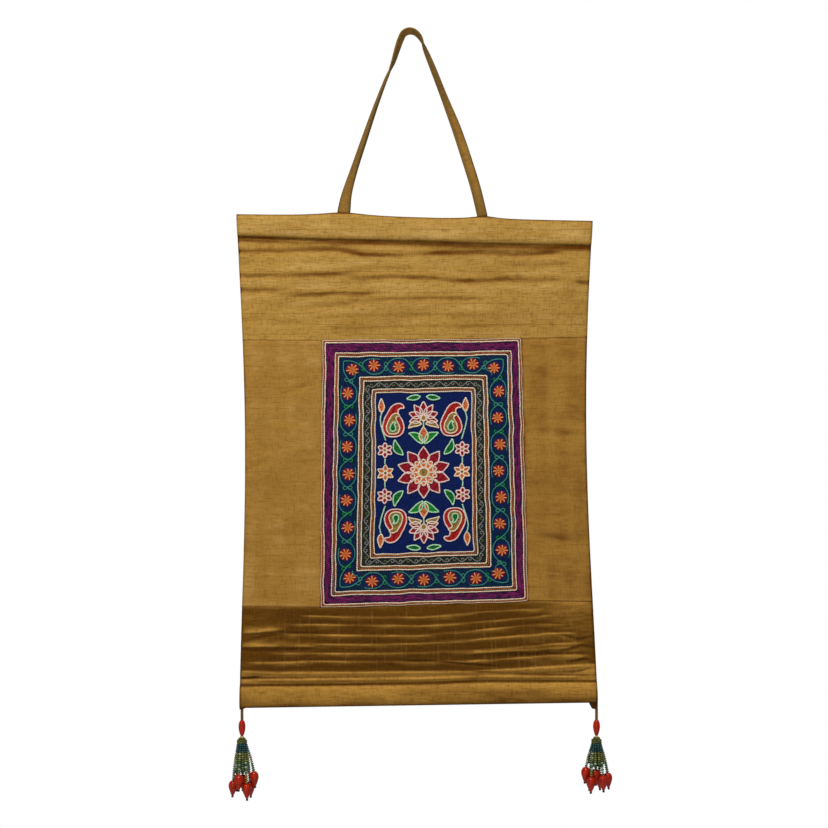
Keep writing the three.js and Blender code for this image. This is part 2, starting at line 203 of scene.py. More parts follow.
def dyed(name, description, red, green, blue):
    """A colour property, from the eye's scale of 0 to 255."""
    steps = [value / 255 for value in (red, green, blue)]
    light = [step / 12.92 if step < 0.04045 else ((step + 0.055) / 1.055) ** 2.4 for step in steps]
    return FloatVectorProperty(
        name=name, description=description, subtype="COLOR", size=3, min=0, max=1, default=light
    )


def length(name, description, value):
    return FloatProperty(name=name, description=description, unit="LENGTH", precision=5, default=value)


class HangingSizes(bpy.types.PropertyGroup):
    """Sizes of the cloth, the stitches and the beads."""

    cloth: length("Cloth", "Thickness of the lined silk", mm(2))
    sleeve: length("Sleeve", "Thickness of the round sleeves at the top and the foot", mm(10.6))
    hem_turn: length("Hem turn", "How far the side edges turn back", mm(1.1))
    strap_width: length("Strap width", "Width of the hanging strap", mm(11.5))
    strap_thick: length("Strap thickness", "Thickness of the hanging strap", mm(2.3))
    couching: length("Couching thread", "Width of the threads of the frames", mm(1.35))
    outline: length("Outline thread", "Width of the threads that outline the motifs", mm(1.5))
    satin: length("Satin thread", "Distance between the threads of a filled shape", mm(0.7))
    seed_bead: length("Seed bead", "Width of a bead of the tassel's strings", mm(2.8))


class SilkColours(bpy.types.PropertyGroup):
    """Colours of the silk and of its painted highlights and painted shades."""

    gold: dyed("Gold", "The top band", 166, 127, 58)
    # Painted highlight and painted shade of the top band and the side panels
    gold_painted_light: dyed("Gold light", "Lights of the top band", 208, 171, 104)
    gold_painted_shade: dyed("Gold deep", "Grooves and creases of the top band", 92, 44, 0)
    side: dyed("Side", "The two side panels", 158, 116, 50)
    # Painted shade: the gold silk painted darker for the tucked band, which faces down and catches less
    # sheen
    foot: dyed("Foot", "The tucked bottom band", 96, 59, 10)
    # Painted highlight and painted shade of the tucked band
    foot_painted_light: dyed("Foot light", "Ridges and sleeve of the tucked band", 186, 138, 60)
    foot_painted_shade: dyed("Foot deep", "Shade under the tucks", 48, 19, 0)
    line: dyed("Line", "Woven lines of the gold silk", 104, 64, 14)
    pale_line: dyed("Pale line", "Woven lines of the tucked band", 150, 110, 54)
    strap: dyed("Strap", "The hanging strap", 128, 95, 44)
    # Painted highlight of the strap, and painted shade on its edges
    strap_painted_light: dyed("Strap light", "The strap at its roots", 185, 139, 62)
    strap_painted_shade: dyed("Strap deep", "The strap's edges", 62, 51, 20)


class ThreadColours(bpy.types.PropertyGroup):
    """Colours of the embroidery's ground and threads."""

    cream: dyed("Cream", "Couched lines", 234, 211, 180)
    pink: dyed("Pink", "Outlines of flowers", 234, 206, 194)
    rust: dyed("Rust", "Middle line of the frames", 158, 84, 38)
    purple: dyed("Purple", "Satin of the outer band", 90, 16, 70)
    magenta: dyed("Magenta", "Lights of the outer band", 116, 26, 86)
    navy: dyed("Navy", "Edges of the outer band", 36, 12, 52)
    ink: dyed("Ink", "Ground of the narrow band", 38, 40, 34)
    slate: dyed("Slate", "Scrolls of the narrow band", 124, 126, 120)
    moss: dyed("Moss", "Second thread of the scrolls", 92, 102, 66)
    sea: dyed("Sea", "Ground of the vine band", 2, 36, 66)
    field: dyed("Field", "Ground of the field", 14, 30, 82)
    teal: dyed("Teal", "Vine stem", 58, 134, 116)
    green: dyed("Green", "Leaves", 14, 104, 38)
    bright_green: dyed("Bright green", "Young leaves", 20, 132, 42)
    pale_green: dyed("Pale green", "Outlines of leaves", 176, 220, 180)
    orange: dyed("Orange", "Flowers and buds", 206, 106, 54)
    peach: dyed("Peach", "Tips of the vine's flowers", 232, 152, 108)
    brick: dyed("Brick", "Ground of the vine's flowers", 116, 18, 14)
    red: dyed("Red", "Paisleys", 168, 22, 16)
    crimson: dyed("Crimson", "Petals of the lotuses and round flowers", 146, 14, 34)
    mustard: dyed("Mustard", "Broad leaves and insides of the paisleys", 150, 120, 58)
    olive: dyed("Olive", "Hearts of the side flowers", 96, 82, 24)


class BeadColours(bpy.types.PropertyGroup):
    """Colours of the tassels."""

    cord: dyed("Cord", "Cord over each tassel", 104, 92, 46)
    red: dyed("Red", "Oval beads and drops", 176, 32, 4)
    stop: dyed("Stop", "Stop beads at the tips", 14, 12, 10)
    gold: dyed("Gold", "Small bead on the head", 206, 176, 118)
    olive: dyed("Olive", "Head and upper rows of seed beads", 90, 92, 36)
    lime: dyed("Lime", "Third rows of seed beads", 118, 121, 56)
    blue: dyed("Blue", "Second rows of seed beads", 42, 84, 86)
    sea_green: dyed("Sea green", "Lower rows of seed beads", 72, 104, 66)
    clear: dyed("Clear", "Clear seed beads", 158, 170, 140)
    honey: dyed("Honey", "Seed beads over the drops", 150, 112, 46)


def mix(a, b, share):
    return a + (b - a) * share


def smoothstep(value, low, high):
    share = np.clip((value - low) / (high - low), 0, 1)
    return share * share * (3 - 2 * share)


# Random lattice under the uneven patterns: its size, and how far its corner lies from the origin
LATTICE = 64
LATTICE_SHIFT = 31.7


def ripple(x, z, size, seed):
    """Smooth uneven heights from -1 to 1 over the plane, with features of about that size."""
    lattice = np.random.default_rng(seed).uniform(-1, 1, (LATTICE, LATTICE))
    u = np.asarray(x) / size + LATTICE_SHIFT
    v = np.asarray(z) / size + LATTICE_SHIFT
    i = np.floor(u).astype(int)
    j = np.floor(v).astype(int)
    du = smoothstep(u - i, 0, 1)
    dv = smoothstep(v - j, 0, 1)

    def corner(a, b):
        return lattice[(i + a) % LATTICE, (j + b) % LATTICE]

    low = mix(corner(0, 0), corner(1, 0), du)
    high = mix(corner(0, 1), corner(1, 1), du)
    return mix(low, high, dv)


def wander(x, size, seed):
    """Smooth uneven heights from -1 to 1 along X alone."""
    return ripple(x, np.zeros_like(x), size, seed)


class Wave(NamedTuple):
    """An uneven pattern: strength, how much closer it lies down the cloth, size of a feature and seed."""

    strength: float
    closer: float
    size: float
    seed: int


CLOTH_WAVES = [Wave(mm(0.35), 2.2, mm(34), 5), Wave(mm(0.12), 2.5, mm(9), 8)]
TONE_WAVES = [Wave(0.07, 4, mm(30), 31), Wave(0.05, 5, mm(11), 32)]
PUCKERS = [Wave(mm(0.4), 1, mm(16), 3), Wave(mm(0.2), 1, mm(6), 4)]


def uneven(rows, x, z):
    """The sum of a set of waves at points of the cloth."""
    return sum(row.strength * ripple(x, z * row.closer, row.size, row.seed) for row in rows)


def rays(angles):
    """Unit directions in the plane at angles in radians."""
    return np.stack([np.cos(angles), np.sin(angles)], axis=1)


def hang_at(z):
    return np.interp(z, HANG_HEIGHT, HANG_FORWARD)


def top_edge(x):
    pulls = [rise / (1 + ((x - root) / reach) ** 2) for root, rise, reach in STRAP_PULLS]
    return TOP_EDGE.at(x) + np.maximum(*pulls)


def fold_share(route, x):
    """How much of a fold stands at places across the cloth, fading at both ends of its route."""
    fade = min(FOLD_FADE, (route.x[-1] - route.x[0]) / 3)
    return smoothstep(np.minimum(x - route.x[0], route.x[-1] - x), -fade, fade)


def near_line(distance, width):
    """1 on a line and fading to 0 away from it."""
    return np.exp(-((distance / width) ** 2))


class Streak(NamedTuple):
    """A soft light or shade along a line: strength, millimetres over the line, width in millimetres."""

    strength: float
    over: float
    width: float


def streaks(off, *rows):
    """The sum of some streaks at distances over their line."""
    return sum(row.strength * near_line(off - mm(row.over), mm(row.width)) for row in rows)


def fold_height(folds, x, z):
    """How far a set of folds stands forward at points of the cloth."""
    total = np.zeros_like(x)
    for route, rise, above, below in folds:
        off = z - route.at(x)
        total += rise * fold_share(route, x) * near_line(off, np.where(off > 0, above, below))
    return total


# Mesh helpers
def new_piece(mesh, name, slot, material, *nodes):
    """An object for a finished mesh, riding on the hanging and standing for its CAD nodes."""
    mesh.name = name
    mesh.shade_smooth()
    mesh.materials.append(material)
    piece = bpy.data.objects.new(name, mesh)
    bpy.context.scene.collection.objects.link(piece)
    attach(piece, "root")
    if nodes:
        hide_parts(*nodes)
    return piece


def finished(bm, name):
    mesh = bpy.data.meshes.new(name)
    bm.to_mesh(mesh)
    bm.free()
    return mesh


def coordinates(mesh):
    flat = np.empty(len(mesh.vertices) * 3)
    mesh.vertices.foreach_get("co", flat)
    return flat.reshape(-1, 3)


def loop_vertices(mesh):
    index = np.empty(len(mesh.loops), dtype=np.int32)
    mesh.loops.foreach_get("vertex_index", index)
    return index


def set_uv(mesh, name, uv):
    """A UV map from one pair of coordinates for each vertex."""
    layer = mesh.uv_layers.new(name=name)
    layer.uv.foreach_set("vector", uv[loop_vertices(mesh)].ravel().astype(np.float32))


def set_colour(mesh, name, colour):
    """A colour attribute from one colour for each vertex."""
    rgba = np.ones((len(mesh.vertices), 4), dtype=np.float32)
    rgba[:, :3] = colour
    mesh.attributes.new(name, "FLOAT_COLOR", "POINT").data.foreach_set("color", rgba.ravel())


def closed_sheet(name, column_stops, row_stops, place):
    """A closed sheet: a grid and its copy behind it, joined round the rim.

    Place gives each vertex its point and its place on the flat cloth, from its stop across, its stop
    down and whether it is on the back.
    """
    columns = np.asarray(column_stops)
    rows = np.asarray(row_stops)
    bm = bmesh.new()
    bmesh.ops.create_grid(bm, x_segments=len(columns) - 1, y_segments=len(rows) - 1, size=0.5)
    front = bm.faces[:]
    made = bmesh.ops.extrude_face_region(bm, geom=front, use_keep_orig=True)
    behind = [item for item in made["geom"] if isinstance(item, bmesh.types.BMVert)]
    bmesh.ops.translate(bm, verts=behind, vec=(0, 0, 1))
    bmesh.ops.recalc_face_normals(bm, faces=bm.faces)
    mesh = finished(bm, name)
    flat = coordinates(mesh)
    across = columns[np.rint((flat[:, 0] + 0.5) * (len(columns) - 1)).astype(int)]
    down = rows[np.rint((flat[:, 1] + 0.5) * (len(rows) - 1)).astype(int)]
    spots, uv = place(across, down, flat[:, 2] > 0.5)
    mesh.vertices.foreach_set("co", spots.ravel())
    set_uv(mesh, "Cloth", uv)
    mesh.update()
    return mesh


class Form(NamedTuple):
    """A small shape to repeat: points with Z along its axis from -0.5 to 0.5, and its faces."""

    points: np.ndarray
    corners: np.ndarray
    sizes: np.ndarray


def form_of(bm):
    """The form of a small bmesh, scaled to a unit length along Z and a unit width."""
    bmesh.ops.recalc_face_normals(bm, faces=bm.faces)
    bm.verts.index_update()
    points = np.array([vert.co for vert in bm.verts])
    low, high = points.min(axis=0), points.max(axis=0)
    points = (points - (low + high) / 2) / (high - low)[[0, 0, 2]]
    corners = np.array([vert.index for face in bm.faces for vert in face.verts])
    sizes = np.array([len(face.verts) for face in bm.faces])
    bm.free()
    return Form(points, corners, sizes)


def grain_form(around, along):
    """A rounded grain, the shape of one stitch or one seed bead."""
    bm = bmesh.new()
    bmesh.ops.create_uvsphere(bm, u_segments=around, v_segments=along, radius=1)
    return form_of(bm)


def turned_form(profile, around):
    """A form turned about Z from rows of radius and height, closed at both ends."""
    bm = bmesh.new()
    rows = [(0, profile[0][1]), *profile, (0, profile[-1][1])]
    verts = [bm.verts.new((radius, 0, height)) for radius, height in rows]
    edges = [bm.edges.new(pair) for pair in zip(verts, verts[1:])]
    bmesh.ops.spin(
        bm, geom=verts + edges, cent=(0, 0, 0), axis=(0, 0, 1), angle=math.tau, steps=around,
        use_merge=True,
    )
    bmesh.ops.remove_doubles(bm, verts=bm.verts, dist=1e-5)
    return form_of(bm)


class Run(NamedTuple):
    """Places for copies of a form: ends of each, its width and height, and its colour."""

    start: np.ndarray
    end: np.ndarray
    width: np.ndarray
    height: np.ndarray
    colour: np.ndarray


def run_of(start, end, width, height, colour):
    count = len(start)
    return Run(
        np.asarray(start, dtype=float),
        np.asarray(end, dtype=float),
        np.broadcast_to(np.asarray(width, dtype=float), count),
        np.broadcast_to(np.asarray(height, dtype=float), count),
        np.broadcast_to(np.asarray(colour, dtype=float), (count, 3)),
    )


def joined_runs(runs):
    return Run(*[np.concatenate(column) for column in zip(*runs)])


FORWARD = np.array([0.0, -1.0, 0.0])


def copies_mesh(name, form, run):
    """One mesh of many copies of a form, each laid from its start to its end, height to the front."""
    axis = run.end - run.start
    size = np.linalg.norm(axis, axis=1, keepdims=True)
    along = axis / size
    side = np.cross(along, FORWARD)
    short = np.linalg.norm(side, axis=1) < 1e-3
    side[short] = np.cross(along[short], [1.0, 0.0, 0.0])
    side /= np.linalg.norm(side, axis=1, keepdims=True)
    front = np.cross(side, along)
    middle = (run.start + run.end) / 2
    x, y, z = (form.points[None, :, i, None] for i in range(3))
    spots = (
        middle[:, None]
        + x * (side * run.width[:, None])[:, None]
        + y * (front * run.height[:, None])[:, None]
        + z * axis[:, None]
    )
    count, points = len(middle), len(form.points)
    corners = (form.corners[None] + points * np.arange(count)[:, None]).ravel()
    sizes = np.tile(form.sizes, count)
    mesh = bpy.data.meshes.new(name)
    mesh.vertices.add(count * points)
    mesh.vertices.foreach_set("co", spots.ravel())
    mesh.loops.add(len(corners))
    mesh.loops.foreach_set("vertex_index", corners.astype(np.int32))
    mesh.polygons.add(len(sizes))
    mesh.polygons.foreach_set("loop_start", (np.cumsum(sizes) - sizes).astype(np.int32))
    mesh.update(calc_edges=True)
    mesh.validate()
    set_colour(mesh, "Thread", np.repeat(run.colour, points, axis=0))
    turn = np.arctan2(form.points[:, 1], form.points[:, 0]) / math.tau
    strand = np.stack([(form.points[None, :, 2] * size).ravel(), np.tile(turn, count)], axis=1)
    set_uv(mesh, "Strand", strand)
    return mesh


# Shading helpers
def add_node(tree, kind, inputs=None, **settings):
    """A node with its settings, and its inputs set to values or linked to sockets by name or index."""
    node = tree.nodes.new(kind)
    for name, value in settings.items():
        setattr(node, name, value)
    for name, value in (inputs or {}).items():
        if isinstance(value, bpy.types.NodeSocket):
            tree.links.new(value, node.inputs[name])
        else:
            node.inputs[name].default_value = value
    return node


def math_node(tree, operation, a, b=0.0):
    return add_node(tree, "ShaderNodeMath", {0: a, 1: b}, operation=operation).outputs[0]


def mix_colour(tree, share, a, b, blend="MIX"):
    node = add_node(tree, "ShaderNodeMix", data_type="RGBA", blend_type=blend)
    for socket, value in zip((node.inputs[0], node.inputs[6], node.inputs[7]), (share, a, b)):
        if isinstance(value, bpy.types.NodeSocket):
            tree.links.new(value, socket)
        else:
            socket.default_value = value if socket == node.inputs[0] else (*value, 1)
    return node.outputs[2]


def times(tree, a, b):
    return math_node(tree, "MULTIPLY", a, b)


def noise(tree, vector, scale, detail=2.0):
    inputs = {"Vector": vector, "Scale": scale, "Detail": detail}
    return add_node(tree, "ShaderNodeTexNoise", inputs).outputs[0]


def object_noise(tree, scale, detail=2.0):
    return noise(tree, add_node(tree, "ShaderNodeTexCoord").outputs["Object"], scale, detail)


def stretched_noise(tree, vector, x, y, detail):
    """Noise with that many features to a metre across and down."""
    mapping = add_node(tree, "ShaderNodeMapping", {"Vector": vector, "Scale": (x, y, 1)})
    return noise(tree, mapping.outputs[0], 1.0, detail)


def ramp(tree, value, low, high):
    """0 up to the low limit, 1 from the high one and smooth between them."""
    inputs = {"Value": value, "From Min": low, "From Max": high}
    return add_node(tree, "ShaderNodeMapRange", inputs, interpolation_type="SMOOTHSTEP").outputs[0]


def uv_map(tree, name):
    return add_node(tree, "ShaderNodeUVMap", uv_map=name).outputs[0]


def thread_colour(tree):
    return add_node(tree, "ShaderNodeAttribute", attribute_name="Thread").outputs[0]


def surface(name, **values):
    """A material with one principled shader and its constant values."""
    material = bpy.data.materials.new(name)
    material.use_nodes = True
    shader = material.node_tree.nodes["Principled BSDF"]
    for key, value in values.items():
        shader.inputs[key.replace("_", " ").title().replace("Ior", "IOR")].default_value = value
    return material, material.node_tree, shader


def bumped(tree, shader, height, strength, distance):
    inputs = {"Height": height, "Strength": strength, "Distance": distance}
    bump = add_node(tree, "ShaderNodeBump", inputs)
    tree.links.new(bump.outputs[0], shader.inputs["Normal"])


# Woven lines of the silk: distance between rows, width of a line and the share of it that is solid
LINE_ROW = mm(10.5)
LINE_WIDTH = mm(0.42)
LINE_CORE = 0.35

# How far the rows wander as a share of their distance, their breaks to a metre and from row to row
LINE_DRIFT = 0.22
LINE_BREAKS = 14
BREAK_SHIFT = 3.7


def row_lines(tree, cloth):
    """1 on thin woven lines across the silk, each of its own strength and broken at uneven places."""
    parts = add_node(tree, "ShaderNodeSeparateXYZ", {0: cloth})
    drift = times(tree, stretched_noise(tree, cloth, 16, 30, 1.0), LINE_DRIFT)
    rows = math_node(tree, "ADD", math_node(tree, "DIVIDE", parts.outputs[1], LINE_ROW), drift)
    number = math_node(tree, "FLOOR", rows)
    within = math_node(tree, "SUBTRACT", rows, number)
    off = math_node(tree, "ABSOLUTE", math_node(tree, "SUBTRACT", within, 0.5))
    line = ramp(tree, off, LINE_WIDTH / LINE_ROW, LINE_WIDTH / LINE_ROW * LINE_CORE)
    along = times(tree, parts.outputs[0], LINE_BREAKS)
    spot = add_node(tree, "ShaderNodeCombineXYZ", {0: along, 1: times(tree, number, BREAK_SHIFT)})
    strength = ramp(tree, noise(tree, spot.outputs[0], 1.0), 0.36, 0.62)
    return times(tree, line, strength)


def column_lines(tree, cloth, low):
    """1 on thin uneven threads down the silk, more of them with a lower limit."""
    threads = stretched_noise(tree, cloth, 430, 9, 0.0)
    broken = ramp(tree, stretched_noise(tree, cloth, 120, 60, 1.0), 0.4, 0.6)
    return times(tree, ramp(tree, threads, low, low + 0.08), broken)


class Weave(NamedTuple):
    """A pattern in the silk: features to a metre across and down, detail, shade's limits and depth."""

    across: float
    down: float
    detail: float
    low: float
    high: float
    depth: float


SLUBS = Weave(110, 700, 3.0, 0.46, 0.74, 0.54)
WARP = Weave(700, 130, 2.0, 0.46, 0.74, 0.4)
CLOUDS = Weave(14, 30, 2.0, 0.45, 0.75, 0.28)
SHADE = (0.42, 0.34, 0.22)


def silk(name, colours_and_painted_light, row_strength, column_strength, column_low=0.68, weave=1.0):
    """Slubbed silk with thin woven lines: uneven weft across, fine warp down, and soft changes of colour.

    Its painted shading leads from the painted shade at 0 by its ground at 0.5 to the painted light at 1.
    """
    # Its ground, painted highlight, painted shade and woven lines' colours
    ground, light, deep, line = [tuple(dye) for dye in colours_and_painted_light]
    material, tree, shader = surface(
        name, roughness=0.5, anisotropic=0.3,
        sheen_weight=0.03, sheen_roughness=0.4, sheen_tint=(1.0, 0.75, 0.35, 1),
        specular_ior_level=0.12, specular_tint=(1.0, 0.74, 0.36, 1),
    )
    cloth = uv_map(tree, "Cloth")
    # Painted light and shade: the attribute mixes from the painted shade through the ground to the painted
    # light
    tone = add_node(tree, "ShaderNodeAttribute", attribute_name="Tone").outputs["Fac"]
    colour = mix_colour(tree, ramp(tree, tone, 0.0, 0.5), deep, ground)
    colour = mix_colour(tree, ramp(tree, tone, 0.5, 1.0), colour, light)
    patterns = []
    for row in (SLUBS, WARP, CLOUDS):
        pattern = stretched_noise(tree, cloth, row.across, row.down, row.detail)
        share = times(tree, ramp(tree, pattern, row.low, row.high), row.depth * weave)
        colour = mix_colour(tree, share, colour, SHADE, "MULTIPLY")
        patterns.append(pattern)
    rows = times(tree, row_lines(tree, cloth), row_strength)
    columns = times(tree, column_lines(tree, cloth, column_low), column_strength)
    colour = mix_colour(tree, math_node(tree, "MAXIMUM", rows, columns), colour, line)
    tree.links.new(colour, shader.inputs["Base Color"])
    slubs, warp, _ = patterns
    threads = stretched_noise(tree, cloth, 900, 1900, 1.0)
    height = math_node(tree, "ADD", slubs, times(tree, warp, 0.7))
    height = math_node(tree, "ADD", height, times(tree, threads, 0.5))
    height = math_node(tree, "SUBTRACT", height, times(tree, rows, 0.8))
    bumped(tree, shader, height, 0.45, mm(0.35))
    return material


# Length of one turn of a thread's plies, and what darkens ply grooves' painted shade, worn thread and deep
# glass
PLY_LENGTH = mm(0.9)
BLACK = (0, 0, 0)
GLASS_DEPTH = (0.02, 0.01, 0.005)


def stitched(name, roughness):
    """Twisted thread in the colours of its own attribute, with painted shade in its plies' grooves."""
    material, tree, shader = surface(
        name, roughness=roughness, sheen_weight=0.02, sheen_roughness=0.4, specular_ior_level=0.12
    )
    parts = add_node(tree, "ShaderNodeSeparateXYZ", {0: uv_map(tree, "Strand")})
    twist = math_node(tree, "ADD", times(tree, parts.outputs[0], 1 / PLY_LENGTH), parts.outputs[1])
    ply = math_node(tree, "PINGPONG", times(tree, twist, 2.0), 0.5)
    # Painted shade in the grooves between the plies
    ply_groove_shade = times(tree, ramp(tree, ply, 0.25, 0.0), 0.35)
    wear = times(tree, ramp(tree, object_noise(tree, 420.0), 0.55, 0.8), 0.25)
    colour = mix_colour(tree, ply_groove_shade, thread_colour(tree), BLACK)
    tree.links.new(mix_colour(tree, wear, colour, BLACK), shader.inputs["Base Color"])
    bumped(tree, shader, ply, 0.6, mm(0.15))
    return material


def glass(name, roughness):
    """Glossy glass beads in the colours of their own attribute."""
    material, tree, shader = surface(
        name, roughness=roughness, coat_weight=0.14, coat_roughness=0.06, specular_ior_level=0.18
    )
    swirl = times(tree, ramp(tree, object_noise(tree, 260.0), 0.4, 0.75), 0.4)
    colour = mix_colour(tree, swirl, thread_colour(tree), GLASS_DEPTH)
    tree.links.new(colour, shader.inputs["Base Color"])
    return material


# Cloth panels

# Roundness of the sleeves, the shares of one where its rows lie, and how much it has of the cloth's waves
SLEEVE_FULLNESS = 2.8
SLEEVE_ROWS = 0.5 - 0.5 * np.cos(np.linspace(0, np.pi, 33))[:-1]
SLEEVE_WAVES = 0.5

# The span of a cloth without a sleeve
NO_SLEEVE = -1

# Stops across the cloth close to a side hem, how far in the hem's turn reaches, and its painted shade
HEM_STOPS = mm(0, 0.5, 1.1, 1.9, 3)
HEM_REACH = mm(1.3)
HEM_SHADE = Streak(-0.3, 0, 1.5)

# Rows of the cloths' meshes, and the distances between their columns
TOP_ROWS = 130
SIDE_ROWS = 150
FOOT_ROWS = 200
BAND_STEP = mm(3)
SIDE_STEP = mm(2.4)


class Panel(NamedTuple):
    """A cloth between two sides and its levels, with its folds and the span that is a round sleeve."""

    left: object
    right: object
    levels: tuple
    folds: list
    sleeve_span: int


def cloth_spots(panel, sizes, across, row, is_back):
    """Points of a cloth and their places on it flat. A row is 0 at the first level, 1 at the second."""
    span = np.minimum(np.floor(row), len(panel.levels) - 2).astype(int)
    share = row - span

    def height_at(x):
        heights = np.stack([level(x) for level in panel.levels])
        order = np.arange(len(x))
        return mix(heights[span, order], heights[span + 1, order], share)

    first = panel.levels[0](np.zeros(1))
    rough_x = mix(panel.left.at(first), panel.right.at(first), across)
    near_z = height_at(rough_x)
    left = panel.left.at(near_z)
    right = panel.right.at(near_z)
    x = mix(left, right, across)
    z = height_at(x)
    in_sleeve = span == panel.sleeve_span
    arch = np.maximum(0, 1 - np.abs(2 * share - 1) ** SLEEVE_FULLNESS)
    round_share = arch ** (1 / SLEEVE_FULLNESS) * in_sleeve
    half = np.maximum(sizes.cloth, sizes.sleeve * round_share) / 2
    waves = uneven(CLOTH_WAVES, x, z)
    folded = np.where(in_sleeve, 0, fold_height(panel.folds, x, z) + waves)
    folded += np.where(in_sleeve & ~is_back, waves * SLEEVE_WAVES * round_share, 0)
    flat = np.stack([across * (right - left).mean(), z], axis=1)
    return x, np.where(is_back, half, -half) - hang_at(z) - folded, z, flat


def even_stops(start, end, step):
    return np.linspace(start, end, max(1, round(abs(end - start) / step)) + 1)


def hem_stops(width, step):
    """Stops across a cloth with closer ones at its two side hems."""
    near = HEM_STOPS / width
    between = even_stops(near[-1], 1 - near[-1], step / width)[1:-1]
    return np.concatenate([near, between, 1 - near[::-1]])


def hem_turn(sizes, to_edge):
    """How far the cloth turns back close to its side edge."""
    return sizes.hem_turn * near_line(to_edge, HEM_REACH)


def cloth_piece(
    context, name, panel, columns, rows, slot, material, node, lowered=None, hems=(True, True)
):
    sizes = context.scene.hanging_sizes

    def place(across, row, is_back):
        x, y, z, flat = cloth_spots(panel, sizes, across, row, is_back)
        width = x.max() - x.min()
        for has_hem, to_edge in zip(hems, (across * width, (1 - across) * width)):
            if has_hem:
                y = y + hem_turn(sizes, to_edge)
        if lowered is not None:
            z = z - lowered(across) * (row == row.max())
        return np.stack([x, y, z], axis=1), flat

    mesh = closed_sheet(name, columns, rows, place)
    return new_piece(mesh, name, slot, material, node)


# Painted light and shade, one value for each vertex
def store_painted_shading(mesh, tone):
    values = np.clip(tone, 0, 1).astype(np.float32)
    mesh.attributes.new("Tone", "FLOAT", "POINT").data.foreach_set("value", values)


def set_painted_shading(piece, painted_shading_at):
    """Give a cloth its painted shading: the part's own, with painted shade where a side edge rolls back.
    """
    spots = coordinates(piece.data)
    x, z = spots[:, 0], spots[:, 2]
    to_side = np.minimum(x - LEFT_EDGE.at(z), RIGHT_EDGE.at(z) - x)
    tone = painted_shading_at(x, z) + streaks(to_side, HEM_SHADE) + uneven(TONE_WAVES, x, z)
    store_painted_shading(piece.data, tone)


# Rise of a valley that has its full painted shade, and the strengths of that and of the painted lights
# beside it
FULL_VALLEY = mm(0.82)
VALLEY_SHADE = 0.44
VALLEY_LIGHT = 0.08


def valley_painted_shading(folds, x, z, spread):
    """Painted shade in the folds' valleys, as wide as its spread to each side, between faint painted
    lights.
    """
    tone = np.zeros_like(x)
    waver = mm(0.7) * wander(x, mm(19), 33) + mm(0.45) * wander(x, mm(6), 36)
    patchy = 0.85 + 0.3 * ripple(x, z, mm(23), 34)
    for route, rise, _, _ in folds:
        if rise < 0:
            off = z - route.at(x) - waver
            share = fold_share(route, x) * min(1, -rise / FULL_VALLEY) * patchy
            lights = near_line(np.abs(off) - 2.2 * spread, spread)
            tone += share * (VALLEY_LIGHT * lights - VALLEY_SHADE * near_line(off, spread))
    return tone


# Painted shading of the top band, width of its creases' shade, lights and shades, and the shade at the
# strap's roots
TOP_PAINTED_SHADING = 0.56
CREASE_WIDTH = mm(3.2)
TOP_EDGE_SHADE = Streak(-0.5, 0, 1.5)
SLEEVE_LIGHT = Streak(0.1, 11, 6)
LOW_SLEEVE_LIGHT = Streak(0.1, 5, 2.5)
GROOVE_SHADE = Streak(-0.5, -2.2, 3.9)
# A pale line under the groove at the left end
PALE_GROOVE_LINE = Streak(0.22, -2.6, 0.7)
TOP_SEAM_SHADE = Streak(-0.25, 0, 0.8)
ROOT_SHADE = 0.3
ROOT_SIZE = mm(9, 4)


class HANGING_OT_top_band(bpy.types.Operator):
    """Make the gold top band with its round sleeve and soft creases"""

    bl_idname = "hanging.top_band"
    bl_label = "Top band"

    def execute(self, context):
        colours = context.scene.hanging_silk
        colours_and_painted_light = (colours.gold, colours.gold_painted_light, colours.gold_painted_shade, colours.line)
        material = silk("gold_silk_band", colours_and_painted_light, 0.55, 0.15)
        levels = (top_edge, TOP_GROOVE.at, TOP_SEAM.at)
        panel = Panel(LEFT_EDGE, RIGHT_EDGE, levels, CREASES, 0)
        columns = hem_stops(mm(356), BAND_STEP)
        rows = np.concatenate([SLEEVE_ROWS, even_stops(1, 2, 1 / TOP_ROWS)])
        piece = cloth_piece(context, "top_band", panel, columns, rows, "gold_silk", material, "top_panel")
        set_painted_shading(piece, self.tone)
        return {"FINISHED"}

    @staticmethod
    def tone(x, z):
        """Painted shade along the top edge, in the groove under the sleeve and at the seam."""
        groove = z - TOP_GROOVE.at(x)
        under_edge = top_edge(x) - z
        under_sleeve = 1 - smoothstep(groove, mm(0.5), mm(2.5))
        at_left = 1 - smoothstep(x, mm(-110), mm(-70))
        # Painted shade in the creases and at the strap's roots, painted light on the sleeve
        tone = TOP_PAINTED_SHADING + valley_painted_shading(CREASES, x, z, CREASE_WIDTH)
        tone += streaks(under_edge, TOP_EDGE_SHADE) + streaks(groove, SLEEVE_LIGHT, LOW_SLEEVE_LIGHT)
        tone += streaks(groove, GROOVE_SHADE) * under_sleeve + streaks(groove, PALE_GROOVE_LINE) * at_left
        for root, _, _ in STRAP_PULLS:
            tone -= ROOT_SHADE * near_line(x - root, ROOT_SIZE[0]) * near_line(under_edge, ROOT_SIZE[1])
        return tone + streaks(z - TOP_SEAM.at(x), TOP_SEAM_SHADE)


# Painted shading of the side panels, how much darker the right is, the share of their creases, and their
# seams
SIDE_PAINTED_SHADING = 0.53
RIGHT_SHADE = 0.14
SIDE_CREASE_SHARE = 0.48
# Painted highlight beside the top and bottom seams, and painted shade at the seams
SEAM_HIGHLIGHT = Streak(0.18, 2.6, 0.7)
SIDE_SEAM_SHADE = Streak(-0.25, 0, 0.9)
PANEL_SEAM_SHADE = Streak(-0.26, 0, 1.6)


